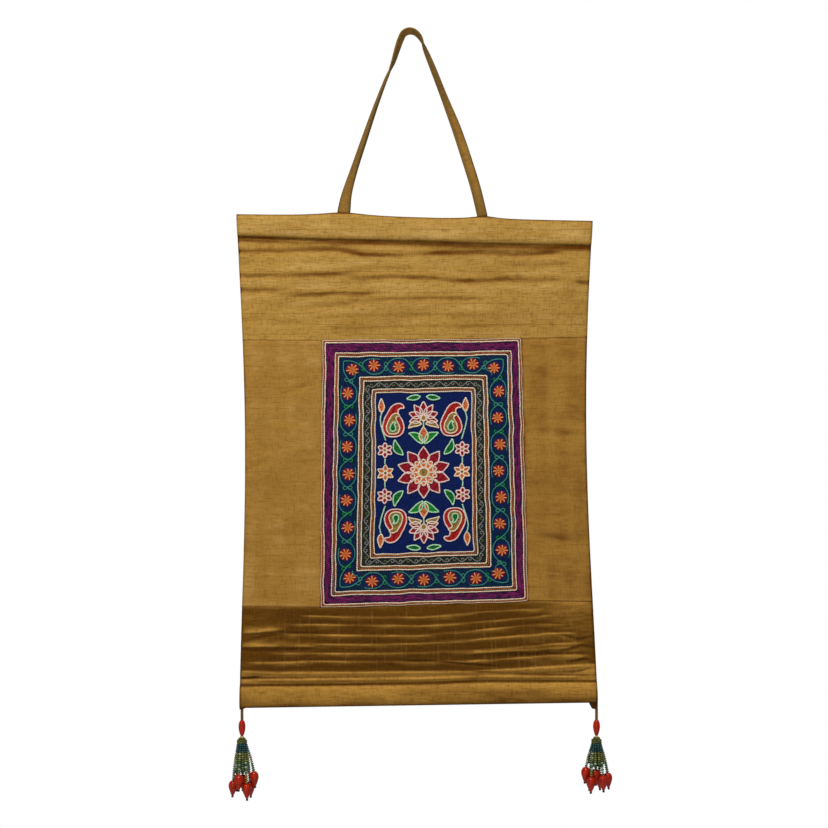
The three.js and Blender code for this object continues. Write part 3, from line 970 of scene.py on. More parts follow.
class HANGING_OT_side_panels(bpy.types.Operator):
    """Make the two side panels of gold silk"""

    bl_idname = "hanging.side_panels"
    bl_label = "Side panels"

    def execute(self, context):
        colours = context.scene.hanging_silk
        colours_and_painted_light = (colours.side, colours.gold_painted_light, colours.gold_painted_shade, colours.line)
        material = silk("gold_silk_side", colours_and_painted_light, 0.32, 0.2, weave=0.7)
        levels = (TOP_SEAM.at, FOOT_SEAM.at)
        rows = even_stops(0, 1, 1 / SIDE_ROWS)
        columns = hem_stops(mm(76), SIDE_STEP)
        left = Panel(LEFT_EDGE, PANEL_LEFT, levels, SIDE_CREASES, NO_SLEEVE)
        piece = cloth_piece(
            context, "left_side", left, columns, rows, "gold_silk", material, "left_panel",
            hems=(True, False),
        )
        set_painted_shading(piece, self.tone)
        right = Panel(PANEL_RIGHT, RIGHT_EDGE, levels, SIDE_CREASES, NO_SLEEVE)
        piece = cloth_piece(
            context, "right_side", right, columns, rows, "gold_silk", material, "right_panel",
            hems=(False, True),
        )
        set_painted_shading(piece, self.tone)
        return {"FINISHED"}

    @staticmethod
    def tone(x, z):
        """Painted shade on the right, with a painted highlight beside the top and bottom seams."""
        below_top = TOP_SEAM.at(x) - z
        above_foot = z - FOOT_SEAM.at(x)
        tone = SIDE_PAINTED_SHADING - RIGHT_SHADE * smoothstep(x, mm(-80), mm(110))
        tone += 0.08 * ripple(x * 3, z * 0.6, mm(28), 35)
        tone += valley_painted_shading(SIDE_CREASES, x, z, mm(3)) * SIDE_CREASE_SHARE
        for off in (below_top, above_foot):
            tone += streaks(off, SEAM_HIGHLIGHT, SIDE_SEAM_SHADE)
        for edge in (PANEL_LEFT, PANEL_RIGHT):
            tone += streaks(x - edge.at(z), PANEL_SEAM_SHADE)
        return tone


def tail_drop(across):
    """How far the foot hangs lower at the two corner tails."""
    left = LEFT_TAIL[1] * (1 - smoothstep(across, LEFT_TAIL[0], LEFT_TAIL[0] + TAIL_BLEND))
    right = RIGHT_TAIL[1] * smoothstep(across, 1 - RIGHT_TAIL[0] - TAIL_BLEND, 1 - RIGHT_TAIL[0])
    return left + right


# Painted shading of the bottom band's slats, how much lighter its folds are, and its painted lights and
# shades
SLAT_PAINTED_SHADING = 0.485
FOLD_LIGHT = 0.35
SLAT_RIDGE_LIGHT = Streak(0.16, 0, 0.9)
SLAT_SHADE = Streak(-0.06, 2.6, 1.5)
FOLD_CREASE_SHADE = Streak(-0.36, 2.4, 1)
FOOT_SEAM_LIGHT = Streak(0.12, 0, 2.5)
FOOT_GROOVE_SHADE = Streak(-0.36, 0, 1.3)
FOOT_EDGE_SHADE = Streak(-0.35, 0, 1.2)


def tuck_painted_shading(x, z):
    """Painted light on thin ridges over slats in painted shade, and on two folds and the sleeve below
    them.
    """
    groove = z - FOOT_GROOVE.at(x)
    from_seam = z - FOOT_SEAM.at(x)
    depth = -groove / mm(1)
    *slats, broad, narrow = [row for row in TUCKS if row.rise > 0]
    in_sleeve = 1 - smoothstep(groove, mm(-3), mm(-0.5))
    in_folds = 1 - smoothstep(z - broad.route.at(x), mm(0.2), mm(2.4))
    top_right = near_line(from_seam, mm(14)) * smoothstep(x, mm(90), mm(140))
    low_right = smoothstep(x, mm(40), mm(90)) * smoothstep(depth, 5, 9)
    ends = smoothstep(np.abs(x - mm(8)), mm(105), mm(150))
    # Painted light on the two folds, the right, both ends and the sleeve, painted shade in the valleys
    tone = SLAT_PAINTED_SHADING + FOLD_LIGHT * in_folds + 0.4 * valley_painted_shading(TUCKS, x, z, mm(1.5))
    tone += 0.06 * smoothstep(x, mm(90), mm(150)) + 0.12 * top_right + 0.05 * (1 - in_folds) * ends
    tone += in_sleeve * (0.075 - 0.009 * depth - 0.1 * low_right)
    waver = mm(0.6) * wander(x, mm(17), 41)
    # Painted highlight on each slat's ridge, with painted shade below it
    for row in slats:
        off = z - row.route.at(x) - waver
        share = fold_share(row.route, x) * (0.75 + 0.4 * ripple(x, row.route.z[0] * 9, mm(26), 42))
        soft = near_line(off, np.where(off > 0, row.above, row.below * 0.75))
        light = 0.38 * soft if row.above > row.below else 0.18 * soft + streaks(off, SLAT_RIDGE_LIGHT)
        tone += share * (light + streaks(off, SLAT_SHADE))
    # Painted shade in the narrow fold's crease, at the groove and the foot edge, painted light at the seam
    patchy = np.clip(0.6 + 0.7 * wander(x, mm(45), 43), 0, 1)
    tone += streaks(z - narrow.route.at(x), FOLD_CREASE_SHADE) * patchy
    tone += streaks(from_seam, FOOT_SEAM_LIGHT) + streaks(groove, FOOT_GROOVE_SHADE)
    return tone + streaks(z - FOOT_EDGE.at(x), FOOT_EDGE_SHADE)


class HANGING_OT_bottom_band(bpy.types.Operator):
    """Make the tucked bottom band with its round sleeve and the two corner tails"""

    bl_idname = "hanging.bottom_band"
    bl_label = "Bottom band"

    def execute(self, context):
        colours = context.scene.hanging_silk
        colours_and_painted_light = (colours.foot, colours.foot_painted_light, colours.foot_painted_shade, colours.pale_line)
        material = silk("tucked_silk", colours_and_painted_light, 0.1, 0.22, 0.64)
        levels = (FOOT_SEAM.at, FOOT_GROOVE.at, FOOT_EDGE.at)
        panel = Panel(LEFT_EDGE, RIGHT_EDGE, levels, TUCKS, 1)
        columns = hem_stops(mm(358), BAND_STEP)
        rows = np.concatenate([even_stops(0, 1, 1 / FOOT_ROWS), 2 - SLEEVE_ROWS[::-1]])
        piece = cloth_piece(
            context, "bottom_band", panel, columns, rows, "dark_silk", material, "bottom_panel", tail_drop
        )
        set_painted_shading(piece, tuck_painted_shading)
        return {"FINISHED"}


# Embroidered panel: widths of its bands, as distances in from the panel's edge
PURPLE_BAND = mm(3.8, 10.5)
VINE_BAND = mm(16.3, 34.8)
NARROW_BAND = mm(41, 47.4)

# Where the dye of its ground changes: from purple to the vine's, then to ink and to the field's
DYE_EDGES = mm(13, 38, 50)
GROUND_SHADE = (0.002, 0.003, 0.012)

# Couched lines of the frames: distance in from the edge, share of the couching thread's width, thread
FRAME_LINES = [
    (0.3, 0.48, "cream"),
    (1.4, 0.85, "rust"),
    (2.7, 0.95, "cream"),
    (11.8, 0.95, "cream"),
    (13.5, 0.95, "rust"),
    (15.2, 0.95, "cream"),
    (36.0, 1.05, "cream"),
    (37.9, 1.0, "rust"),
    (39.7, 1.05, "cream"),
    (48.4, 0.95, "cream"),
    (50.1, 0.95, "rust"),
    (51.8, 0.95, "cream"),
]

# How far the worked area leans right and sits low at its top, and how much wider it is at its foot
PANEL_LEAN = mm(1.35)
PANEL_LOW = mm(1.1)
PANEL_FLARE = mm(3.8)

# How far in from the panel's edge these shifts set in and are full
WORKED_EDGE = mm(2, 12)

# Flowers along each side of the vine band, between its corner flowers
VINE_ACROSS = 6
VINE_DOWN = 8


def panel_inset(flat):
    """Distance of flat places in from the nearest edge of the embroidered panel."""
    a, b = flat[..., 0], flat[..., 1]
    return np.minimum(np.minimum(a, PANEL_WIDTH - a), np.minimum(b, PANEL_HEIGHT - b))


def panel_spots(flat, lift=0.0):
    """Points on the panel's front, from places measured right and down from its top left corner."""
    across = flat[..., 0] / PANEL_WIDTH
    down = flat[..., 1] / PANEL_HEIGHT
    rough_z = mix(TOP_SEAM.z[1], FOOT_SEAM.z[1], down)
    x = mix(PANEL_LEFT.at(rough_z), PANEL_RIGHT.at(rough_z), across)
    worked = smoothstep(panel_inset(flat), *WORKED_EDGE)
    x = x + worked * (PANEL_LEAN * (1 - down) + PANEL_FLARE * (across - 0.5) * down)
    z = mix(TOP_SEAM.at(x), FOOT_SEAM.at(x), down) - worked * PANEL_LOW * (1 - down)
    half = bpy.context.scene.hanging_sizes.cloth / 2
    y = -hang_at(z) - half - uneven(PUCKERS, x, z) - lift
    return np.stack([x, y, z], axis=-1)


def vine_centre():
    """Flat places of the vine's flowers before they step aside, clockwise from the top left corner."""
    inset = VINE_BAND.mean()
    left, right = inset, PANEL_WIDTH - inset
    top, foot = inset, PANEL_HEIGHT - inset
    across = np.linspace(left, right, VINE_ACROSS + 1)
    down = np.linspace(top, foot, VINE_DOWN + 1)
    sides = [
        [(x, top) for x in across[:-1]],
        [(right, y) for y in down[:-1]],
        [(x, foot) for x in across[:0:-1]],
        [(left, y) for y in down[:0:-1]],
    ]
    return np.array(sum(sides, []))


def outward(places):
    """Directions from the panel's middle to its nearest side, slanted at the corners of the vine."""
    inset = VINE_BAND.mean()
    way = np.zeros_like(places)
    way[np.isclose(places, inset)] = -1.0
    way[np.isclose(places, np.array([PANEL_WIDTH, PANEL_HEIGHT]) - inset)] = 1.0
    return way / np.linalg.norm(way, axis=1, keepdims=True)


# How far the vine swings, and how full its bends are
VINE_SWING = mm(7.9)
SWING_FULLNESS = 1.5

# How far its flowers step in and out, how far in at the corners, and the reach of the blue round them
FLOWER_STEP = mm(0.9)
CORNER_STEP = mm(4.5)
FLOWER_BLUE = mm(6.5, 10)


def vine_flowers():
    """Flat places of the vine's flowers, stepped in and out by turns."""
    places = vine_centre()
    ways = outward(places)
    step = np.where(np.arange(len(places)) % 2 == 0, FLOWER_STEP, -FLOWER_STEP)
    at_corner = np.abs(ways).min(axis=1) > 0.1
    return places - ways * np.where(at_corner, CORNER_STEP, step)[:, None]


def vine_dye(threads, flat):
    """Ground of the vine band at flat places: sea blue, and deep blue round the flowers."""
    near = np.min(np.linalg.norm(flat[:, None] - vine_flowers()[None], axis=2), axis=1)
    blue = 1 - smoothstep(near, *FLOWER_BLUE)[:, None]
    return mix(np.array(threads.sea), np.array(threads.field), blue)


class HANGING_OT_embroidered_cloth(bpy.types.Operator):
    """Make the ground cloth of the embroidered panel, dyed in bands"""

    bl_idname = "hanging.embroidered_cloth"
    bl_label = "Embroidered cloth"

    def execute(self, context):
        sizes = context.scene.hanging_sizes
        threads = context.scene.hanging_threads
        columns = even_stops(0, 1, mm(2) / PANEL_WIDTH)
        rows = even_stops(0, 1, mm(2) / PANEL_HEIGHT)
        dye = []

        def place(across, down, is_back):
            flat = np.stack([across * PANEL_WIDTH, down * PANEL_HEIGHT], axis=1)
            spots = panel_spots(flat)
            spots[is_back, 1] = -hang_at(spots[is_back, 2]) + sizes.cloth / 2
            dye.append(self.band_colours(threads, flat))
            return spots, flat

        mesh = closed_sheet("embroidered_cloth", columns, rows, place)
        set_colour(mesh, "Thread", dye[0])
        material = self.ground_cloth()
        piece = new_piece(mesh, "embroidered_cloth", "embroidery", material, "embroidered_panel")
        return {"FINISHED"}

    @staticmethod
    def band_colours(threads, flat):
        """The dye of each place: the bands by distance in, with deep blue round the vine's flowers."""
        inset = panel_inset(flat)[:, None]
        purple_end, vine_end, ink_end = DYE_EDGES
        colour = np.where(inset < purple_end, np.array(threads.purple), vine_dye(threads, flat))
        colour = np.where(inset > vine_end, np.array(threads.ink), colour)
        return np.where(inset > ink_end, np.array(threads.field), colour)

    @staticmethod
    def ground_cloth():
        material, tree, shader = surface("embroidery_ground", roughness=0.7, specular_ior_level=0.04)
        cloth = uv_map(tree, "Cloth")
        rows = stretched_noise(tree, cloth, 130, 1100, 2.0)
        columns = stretched_noise(tree, cloth, 1100, 130, 2.0)
        weave = math_node(tree, "ADD", rows, columns)
        shade = times(tree, ramp(tree, weave, 0.85, 1.2), 0.45)
        colour = mix_colour(tree, shade, thread_colour(tree), GROUND_SHADE)
        tree.links.new(colour, shader.inputs["Base Color"])
        bumped(tree, shader, weave, 0.5, mm(0.3))
        return material


# Stitch helpers
def evenly(points, pitch, closed=False):
    """Points at an even pitch along a line through the given ones."""
    line = np.vstack([points, points[:1]]) if closed else np.asarray(points)
    steps = np.linalg.norm(np.diff(line, axis=0), axis=1)
    reach = np.concatenate([[0], np.cumsum(steps)])
    count = max(1, round(reach[-1] / pitch))
    at = np.linspace(0, reach[-1], count + 1)
    return np.stack([np.interp(at, reach, line[:, i]) for i in range(line.shape[1])], axis=1)


# Hand stitches as shares of their own width or dye: how far they stray, widths, shades and lift
STITCH_STRAY = 0.06
STITCH_WIDTHS = (0.9, 1.1)
STITCH_SHADES = (0.86, 1.08)
STITCH_LIFT = 0.22


def chain(points, pitch, width, colour, lift=0.0, closed=False, overlap=1.35, seed=1, height=0.85):
    """A line of stitches on the panel along flat places, each a little uneven."""
    places = evenly(points, pitch, closed)
    rng = np.random.default_rng(seed)
    places = places + rng.normal(0, width * STITCH_STRAY, places.shape)
    start, end = places[:-1], places[1:]
    middle, half = (start + end) / 2, (end - start) * overlap / 2
    wide = width * rng.uniform(*STITCH_WIDTHS, len(start))
    shade = np.array(colour) * rng.uniform(*STITCH_SHADES, (len(start), 1))
    lifted = lift + width * STITCH_LIFT
    ends = [panel_spots(flat, lifted) for flat in (middle - half, middle + half)]
    return run_of(*ends, wide, wide * height, shade)


def rectangle(inset, wobble=mm(0.65)):
    """A closed line at a distance in from the panel's edge, as uneven as hand work."""
    right, foot = PANEL_WIDTH - inset, PANEL_HEIGHT - inset
    corners = np.array([(inset, inset), (right, inset), (right, foot), (inset, foot)])
    line = evenly(corners, mm(2), closed=True)[:-1]
    shift = np.stack([ripple(line[:, 0], line[:, 1], mm(14), seed) for seed in (21, 22)], axis=1)
    return line + wobble * shift


def save_stitches(name, runs):
    """One piece of all the stitches in a set of runs."""
    mesh = copies_mesh(name, grain_form(6, 4), joined_runs(runs))
    material = bpy.data.materials.get("embroidery_thread") or stitched("embroidery_thread", 0.5)
    new_piece(mesh, name, "embroidery", material)


class HANGING_OT_couched_frames(bpy.types.Operator):
    """Couch the cream and rust lines of the frames"""

    bl_idname = "hanging.couched_frames"
    bl_label = "Couched frames"

    def execute(self, context):
        sizes = context.scene.hanging_sizes
        threads = context.scene.hanging_threads
        runs = []
        for index, (inset, share, thread) in enumerate(FRAME_LINES):
            width = sizes.couching * share
            colour = tuple(getattr(threads, thread))
            runs.append(chain(rectangle(mm(inset)), mm(2), width, colour, mm(0.25), True, seed=index))
        save_stitches("couched_frames", runs)
        return {"FINISHED"}


# Shares of purple, magenta and navy stitches in the outer band's edge rows, the next rows and its middle
PURPLE_SHARES = [(0.22, 0.06, 0.72), (0.5, 0.22, 0.28), (0.46, 0.42, 0.12)]


class HANGING_OT_purple_band(bpy.types.Operator):
    """Sew the long satin stitches of the outer band"""

    bl_idname = "hanging.purple_band"
    bl_label = "Purple band"

    def execute(self, context):
        threads = context.scene.hanging_threads
        insets = even_stops(PURPLE_BAND[0], PURPLE_BAND[1], mm(0.85))
        palette = np.array([tuple(threads.purple), tuple(threads.magenta), tuple(threads.navy)])
        rng = np.random.default_rng(11)
        runs = []
        for index, inset in enumerate(insets):
            line = rectangle(inset, mm(0.5))
            run = chain(line, mm(5.2), mm(1.05), threads.purple, mm(-0.1), True, 1.3, index + 40)
            weights = PURPLE_SHARES[min(index, len(insets) - 1 - index, 2)]
            pick = rng.choice(3, len(run.start), p=weights)
            shade = rng.uniform(0.6, 1.2, (len(pick), 1))
            runs.append(run._replace(colour=palette[pick] * shade))
        save_stitches("purple_band", runs)
        return {"FINISHED"}


def swung(places, ways, index, swing):
    """Places of the vine at whole or part numbers of flowers along it, swung out and in by turns."""
    count = len(places)
    low = np.floor(index).astype(int)
    share = (index - low)[:, None]
    centre = mix(places[low % count], places[(low + 1) % count], share)
    way = mix(ways[low % count], ways[(low + 1) % count], share)
    way = way / np.linalg.norm(way, axis=1, keepdims=True)
    lean = np.tanh(SWING_FULLNESS * np.cos(np.pi * index)) / math.tanh(SWING_FULLNESS)
    return centre + way * (lean * swing)[:, None], way


# Tendrils: how far they turn, in how many points, and how much they close in
CURL_TURN = 1.7 * np.pi
CURL_POINTS = 14
CURL_CLOSING = 0.62


def curl(start, way, side, size):
    """A tendril that leaves a place and winds inwards."""
    angle = np.linspace(0, CURL_TURN, CURL_POINTS)
    radius = size * (1 - CURL_CLOSING * angle / angle[-1])
    base = math.atan2(way[1], way[0])
    centre = start + np.array(way) * size
    bearing = base + np.pi + side * angle
    return centre + rays(bearing) * radius[:, None]


# Petals of a vine flower: number, length, and the turn from one to the gap beside it
FLOWER_PETALS = 8
PETAL_LENGTH = mm(5.1)
PETAL_GAP = 0.39


def vine_flower(threads, place, seed):
    """A small round flower of orange petals with pale tips on a dark red ground."""
    rng = np.random.default_rng(seed)
    turn = rng.uniform(0, 1)
    angles = (np.arange(FLOWER_PETALS) + turn) * math.tau / FLOWER_PETALS
    ray = rays(angles)
    between = rays(angles + PETAL_GAP)
    reach = PETAL_LENGTH * rng.uniform(0.9, 1.1, (FLOWER_PETALS, 1))

    def strokes(way, near, far, width, height, colour, lift):
        ends = [panel_spots(place + way * distance, lift) for distance in (near, far)]
        return run_of(*ends, width, height, colour)

    return [
        strokes(between, mm(0.6), reach * 1.26, mm(3.4), mm(0.8), tuple(threads.brick), mm(0.15)),
        strokes(ray, mm(0.2), reach * 1.18, mm(1.9), mm(1.2), tuple(threads.orange), mm(0.45)),
        strokes(ray, reach * 0.55, reach * 1.2, mm(1), mm(1.1), tuple(threads.peach), mm(0.7)),
        strokes(ray[:2], mm(-0.9), mm(0.9), mm(1.5), mm(1.2), tuple(threads.mustard), mm(0.8)),
    ]


class HANGING_OT_vine_band(bpy.types.Operator):
    """Sew the winding vine with its flowers and tendrils"""

    bl_idname = "hanging.vine_band"
    bl_label = "Vine band"

    def execute(self, context):
        threads = context.scene.hanging_threads
        places = vine_centre()
        ways = outward(places)
        index = np.linspace(0, len(places), len(places) * 12, endpoint=False)
        line, _ = swung(places, ways, index, VINE_SWING)
        runs = [chain(line, mm(1.9), mm(1.2), threads.teal, mm(0.1), True, seed=61)]
        for number in range(len(places)):
            branch, _ = swung(places, ways, np.linspace(number - 0.5, number + 0.24, 12), -VINE_SWING)
            runs.append(chain(branch, mm(1.8), mm(1.05), threads.teal, mm(0.1), seed=240 + number))
        for number, place in enumerate(vine_flowers()):
            runs += vine_flower(threads, place, 100 + number)
        crossings, crossing_ways = swung(places, ways, np.arange(len(places)) + 0.5, VINE_SWING)
        for number, (place, way) in enumerate(zip(crossings, crossing_ways)):
            for side in (1, -1):
                tendril = curl(place, way * side, side * (1 if number % 2 else -1), mm(2.7))
                colour = threads.bright_green if number % 2 == 0 else threads.teal
                runs.append(chain(tendril, mm(1.7), mm(1.0), colour, mm(0.1), seed=200 + number))
        runs += self.ground(threads)
        save_stitches("vine_band", runs)
        return {"FINISHED"}

    @staticmethod
    def ground(threads):
        """Flat darning over the band's ground."""
        rng = np.random.default_rng(17)
        first, last = VINE_BAND + mm(0.6, -0.6)
        pitch = mm(6)
        runs = []
        for index, inset in enumerate(even_stops(first, last, mm(1.25))):
            line = rectangle(inset, mm(0.3))
            run = chain(line, pitch, mm(1.3), threads.sea, mm(-0.35), True, 1.1, 300 + index, 0.5)
            flat = evenly(line, pitch, True)
            colour = vine_dye(threads, (flat[:-1] + flat[1:]) / 2)
            runs.append(run._replace(colour=colour * rng.uniform(0.75, 1.25, (len(colour), 1))))
        return runs


# Scrolls of the narrow band: length of a wave, how far it swings, and the step that it is drawn in
SCROLL_WAVE = mm(14.8)
SCROLL_SWING = mm(2.3)
SCROLL_STEP = mm(0.7)


class HANGING_OT_narrow_band(bpy.types.Operator):
    """Sew the running scrolls of the narrow band"""

    bl_idname = "hanging.narrow_band"
    bl_label = "Narrow band"

    def execute(self, context):
        threads = context.scene.hanging_threads
        line = evenly(rectangle(NARROW_BAND.mean(), mm(0.3)), SCROLL_STEP, closed=True)[:-1]
        count = len(line)
        ahead = np.roll(line, -1, axis=0) - line
        ahead /= np.linalg.norm(ahead, axis=1, keepdims=True)
        beside = np.stack([-ahead[:, 1], ahead[:, 0]], axis=1)
        waves = round(count * SCROLL_STEP / SCROLL_WAVE)
        swing = SCROLL_SWING * np.sin(math.tau * np.arange(count) / count * waves)
        route = line + beside * swing[:, None]
        runs = [chain(route, mm(1.4), mm(1.05), threads.slate, 0.0, True, seed=71)]
        for number in range(2 * waves):
            crest = int((number + 0.5) / (2 * waves) * count)
            side = 1 if number % 2 == 0 else -1
            scroll = curl(route[crest], -side * beside[crest], side, SCROLL_SWING * 0.92)
            thread = threads.moss if number % 3 == 0 else threads.slate
            runs.append(chain(scroll, mm(1.3), mm(1.0), thread, mm(0.05), seed=260 + number))
        save_stitches("narrow_band", runs)
        return {"FINISHED"}


# Motifs of the field, drawn in millimetres right and up from its middle
def leaf(base, tip, width, bend=0.0, fullness=0.8):
    """The outline of a petal or leaf from its base to its tip, bent to one side."""
    base, tip = np.array(base, dtype=float), np.array(tip, dtype=float)
    ahead = tip - base
    beside = np.array([-ahead[1], ahead[0]]) / np.linalg.norm(ahead)
    share = np.linspace(0, 1, 12)[:, None]
    spine = base + ahead * share + beside * bend * 4 * share * (1 - share)
    half = width / 2 * np.sin(np.pi * share**fullness)
    return np.vstack([spine + beside * half, (spine - beside * half)[-2:0:-1]])


def rounded(points):
    """A closed outline with its corners cut twice."""
    line = np.array(points, dtype=float)
    for _ in range(2):
        ahead = np.roll(line, -1, axis=0)
        line = np.stack([mix(line, ahead, 0.25), mix(line, ahead, 0.75)], axis=1).reshape(-1, 2)
    return line


def satin_rows(outline, grain, pitch, longest, seed):
    """Ends of the parallel stitches that fill a closed outline, in the direction of its grain."""
    turn = math.radians(grain)
    spin = np.array([[math.cos(turn), math.sin(turn)], [-math.sin(turn), math.cos(turn)]])
    line = outline @ spin.T
    ahead = np.roll(line, -1, axis=0)
    rng = np.random.default_rng(seed)
    starts, ends = [], []
    for level in np.arange(line[:, 1].min() + pitch / 2, line[:, 1].max(), pitch):
        crossing = (line[:, 1] > level) != (ahead[:, 1] > level)
        low, high = line[crossing], ahead[crossing]
        share = (level - low[:, 1]) / (high[:, 1] - low[:, 1])
        at = np.sort(low[:, 0] + share * (high[:, 0] - low[:, 0]))
        for left, right in zip(at[::2], at[1::2]):
            count = max(1, math.ceil((right - left) / longest + rng.uniform(-0.3, 0.3)))
            cuts = np.linspace(left, right, count + 1)
            cuts[1:-1] += rng.uniform(-0.25, 0.25, count - 1) * (right - left) / count
            starts += [(cut, level) for cut in cuts[:-1]]
            ends += [(cut, level) for cut in cuts[1:]]
    return np.array(starts).reshape(-1, 2) @ spin, np.array(ends).reshape(-1, 2) @ spin


def field_flat(points):
    """Flat places on the panel from millimetres right and up from the field's middle."""
    points = np.asarray(points, dtype=float) * 0.001
    return np.stack([PANEL_WIDTH / 2 + points[..., 0], PANEL_HEIGHT / 2 - points[..., 1]], axis=-1)


# How far the petals of a lotus fan out to each side, in degrees, and where a petal is widest
LOTUS_SPREAD = 105.0
PETAL_FULLNESS = 0.72


class FieldSewing:
    """Collects the stitches of the field: filled shapes first, then the couched lines round them."""

    def __init__(self, context):
        self.sizes = context.scene.hanging_sizes
        self.threads = context.scene.hanging_threads
        self.fills = []
        self.lines = []

    def shape(self, outline, fill, edge, grain=90.0, lift=0.0):
        seed = 400 + len(self.lines)
        pitch = self.sizes.satin / 0.001
        if fill:
            start, end = satin_rows(outline, grain, pitch, 5.5, seed)
            shade = np.random.default_rng(seed).uniform(0.85, 1.12, (len(start), 1))
            colour = np.array(getattr(self.threads, fill)) * shade
            width = self.sizes.satin * 2
            spots = [panel_spots(field_flat(places), mm(0.1) + mm(lift)) for places in (start, end)]
            self.fills.append(run_of(*spots, width, width * 0.8, colour))
        if edge:
            self.line(outline, edge, True, lift)

    def line(self, points, edge, closed=False, lift=0.0):
        colour = tuple(getattr(self.threads, edge))
        seed = 700 + len(self.lines)
        flat = field_flat(points)
        self.lines.append(
            chain(flat, mm(1.75), self.sizes.outline, colour, mm(0.3) + mm(lift), closed, seed=seed)
        )

    def petal(self, centre, near, far, width, angle, fill, edge, lift=0.0):
        """A petal from near to far from its flower's middle, at an angle in degrees from straight up."""
        way = np.array([math.sin(math.radians(angle)), math.cos(math.radians(angle))])
        outline = leaf(centre + way * near, centre + way * far, width, 0, PETAL_FULLNESS)
        self.shape(outline, fill, edge, 90 - angle, lift)

    def lotus(self, centre, size, petals, tilt):
        """A lotus seen from the side: petals in a fan over a small seed head."""
        for angle in np.linspace(-LOTUS_SPREAD, LOTUS_SPREAD, petals):
            reach = size * (1 - 0.16 * abs(angle) / LOTUS_SPREAD)
            self.petal(centre, size * 0.16, reach, size * 0.42, angle + tilt, "crimson", "pink")
        head = leaf(centre - (0, size * 0.2), centre + (0, size * 0.22), size * 0.32)
        self.shape(head, "mustard", "cream", 0, 0.2)

    def rosette(self, centre, near, far, width, petals, fill, edge, lift=0.0):
        """A flower seen from above: petals all the way round."""
        for angle in np.arange(petals) * 360 / petals:
            self.petal(centre, near, far, width, angle, fill, edge, lift)

    def disc(self, centre, radius, fill, edge, lift=0.0):
        ring = rays(np.linspace(0, math.tau, 20, endpoint=False))
        self.shape(centre + radius * ring, fill, edge, 0, lift)


# A paisley with its tip curled to the right, in millimetres from the middle of its round end
PAISLEY = [
    (0, -11), (7.5, -9.5), (11, -3), (9.5, 5), (5.5, 11), (4, 15.5), (6.5, 18.5), (11, 17.5),
    (9.5, 22), (4, 23.5), (-2, 20.5), (-5.5, 14), (-9.5, 6.5), (-11, -2), (-7.5, -9.5),
]

# Middles of the paisleys' round ends and of the small flowers in the upper half
PAISLEY_SPOTS = [(-29.5, 47), (27, 47)]
SMALL_FLOWERS = [(-37.5, 23), (37.5, 23)]

# Leaves to the right of the upper sprig: base, tip, width, bend, fill, edge and grain in degrees
SPRIG_LEAVES = [
    ((1, 29), (15, 40), 7, 2.5, "bright_green", "pale_green", 40),
    ((2, 49), (15, 44.5), 5.5, 2.5, "mustard", "cream", -20),
    ((20, 18), (28, 34), 6.5, -2.5, "green", "pale_green", 60),
    ((3, 76.5), (17, 74.5), 5, 0, "green", "pale_green", 0),
]

# The bud in the upper right corner and its stem
BUD = np.array([(41, 61), (41.5, 75)])
BUD_STEM = np.array([(41, 61), (42.5, 54), (41, 46), (37, 33)])


def sew_paisley(sewing, place, turn):
    outline = rounded(PAISLEY)
    sewing.shape(turn * (outline + place), "red", "pink", 0)
    sewing.shape(turn * (outline * 0.62 + (-0.3, -1.2) + place), "mustard", "cream", 90, 0.5)
    sewing.shape(turn * (outline * 0.28 + (-0.3, -2) + place), "green", "pale_green", 0, 0.9)


def sew_half(sewing, turn):
    """The upper half of the field, or with a turn of -1 the same half turned round to the foot."""

    def at(*points):
        return turn * np.array(points, dtype=float)

    tilt = 0 if turn > 0 else 180
    sewing.line(at((0, 46), (0, 53)), "pale_green")
    sewing.lotus(at((0, 55))[0], 17, 7, tilt)
    sewing.shape(leaf(*at((0, 30), (0, 46)), 9, 0, 0.8), "orange", "cream", 90)
    for side in (1, -1):
        mirror = turn * np.array([side, 1])
        for base, tip, width, bend, fill, edge, grain in SPRIG_LEAVES:
            sewing.shape(leaf(mirror * base, mirror * tip, width, bend * side), fill, edge, grain * side)
        sewing.shape(leaf(*(mirror * BUD), 5.5, 0, 0.75), "orange", "cream", 90)
        sewing.line(mirror * BUD_STEM, "pale_green")
    for place in PAISLEY_SPOTS:
        sew_paisley(sewing, np.array(place), turn)
    for place in SMALL_FLOWERS:
        centre = at(place)[0]
        sewing.line([centre - (0, 8.5 * turn), centre - (0, 14 * turn)], "pale_green")
        sewing.rosette(centre, 1.5, 8, 4.4, 6, "crimson", "pink")
        sewing.disc(centre, 1.6, "mustard", "", 0.4)
    centre = at((37, 0))[0]
    sewing.rosette(centre, 1.5, 8.5, 4.4, 6, "orange", "cream")
    sewing.disc(centre, 1.6, "olive", "", 0.4)


def sew_field(sewing):
    """A round flower with sprigs over and under it, and paisleys that all turn the same way round it."""
    sewing.rosette((0, 0), 9, 26, 11, 10, "crimson", "pink")
    sewing.rosette((0, 0), 5, 14, 6, 10, "orange", "cream", 0.3)
    sewing.disc((0, 0), 4.6, "mustard", "cream", 0.5)
    for turn in (1, -1):
        sew_half(sewing, turn)


class HANGING_OT_field_motifs(bpy.types.Operator):
    """Sew the filled motifs of the field and the lines round them"""

    bl_idname = "hanging.field_motifs"
    bl_label = "Field motifs"

    def execute(self, context):
        sewing = FieldSewing(context)
        sew_field(sewing)
        save_stitches("field_fills", sewing.fills)
        save_stitches("field_lines", sewing.lines)
        return {"FINISHED"}


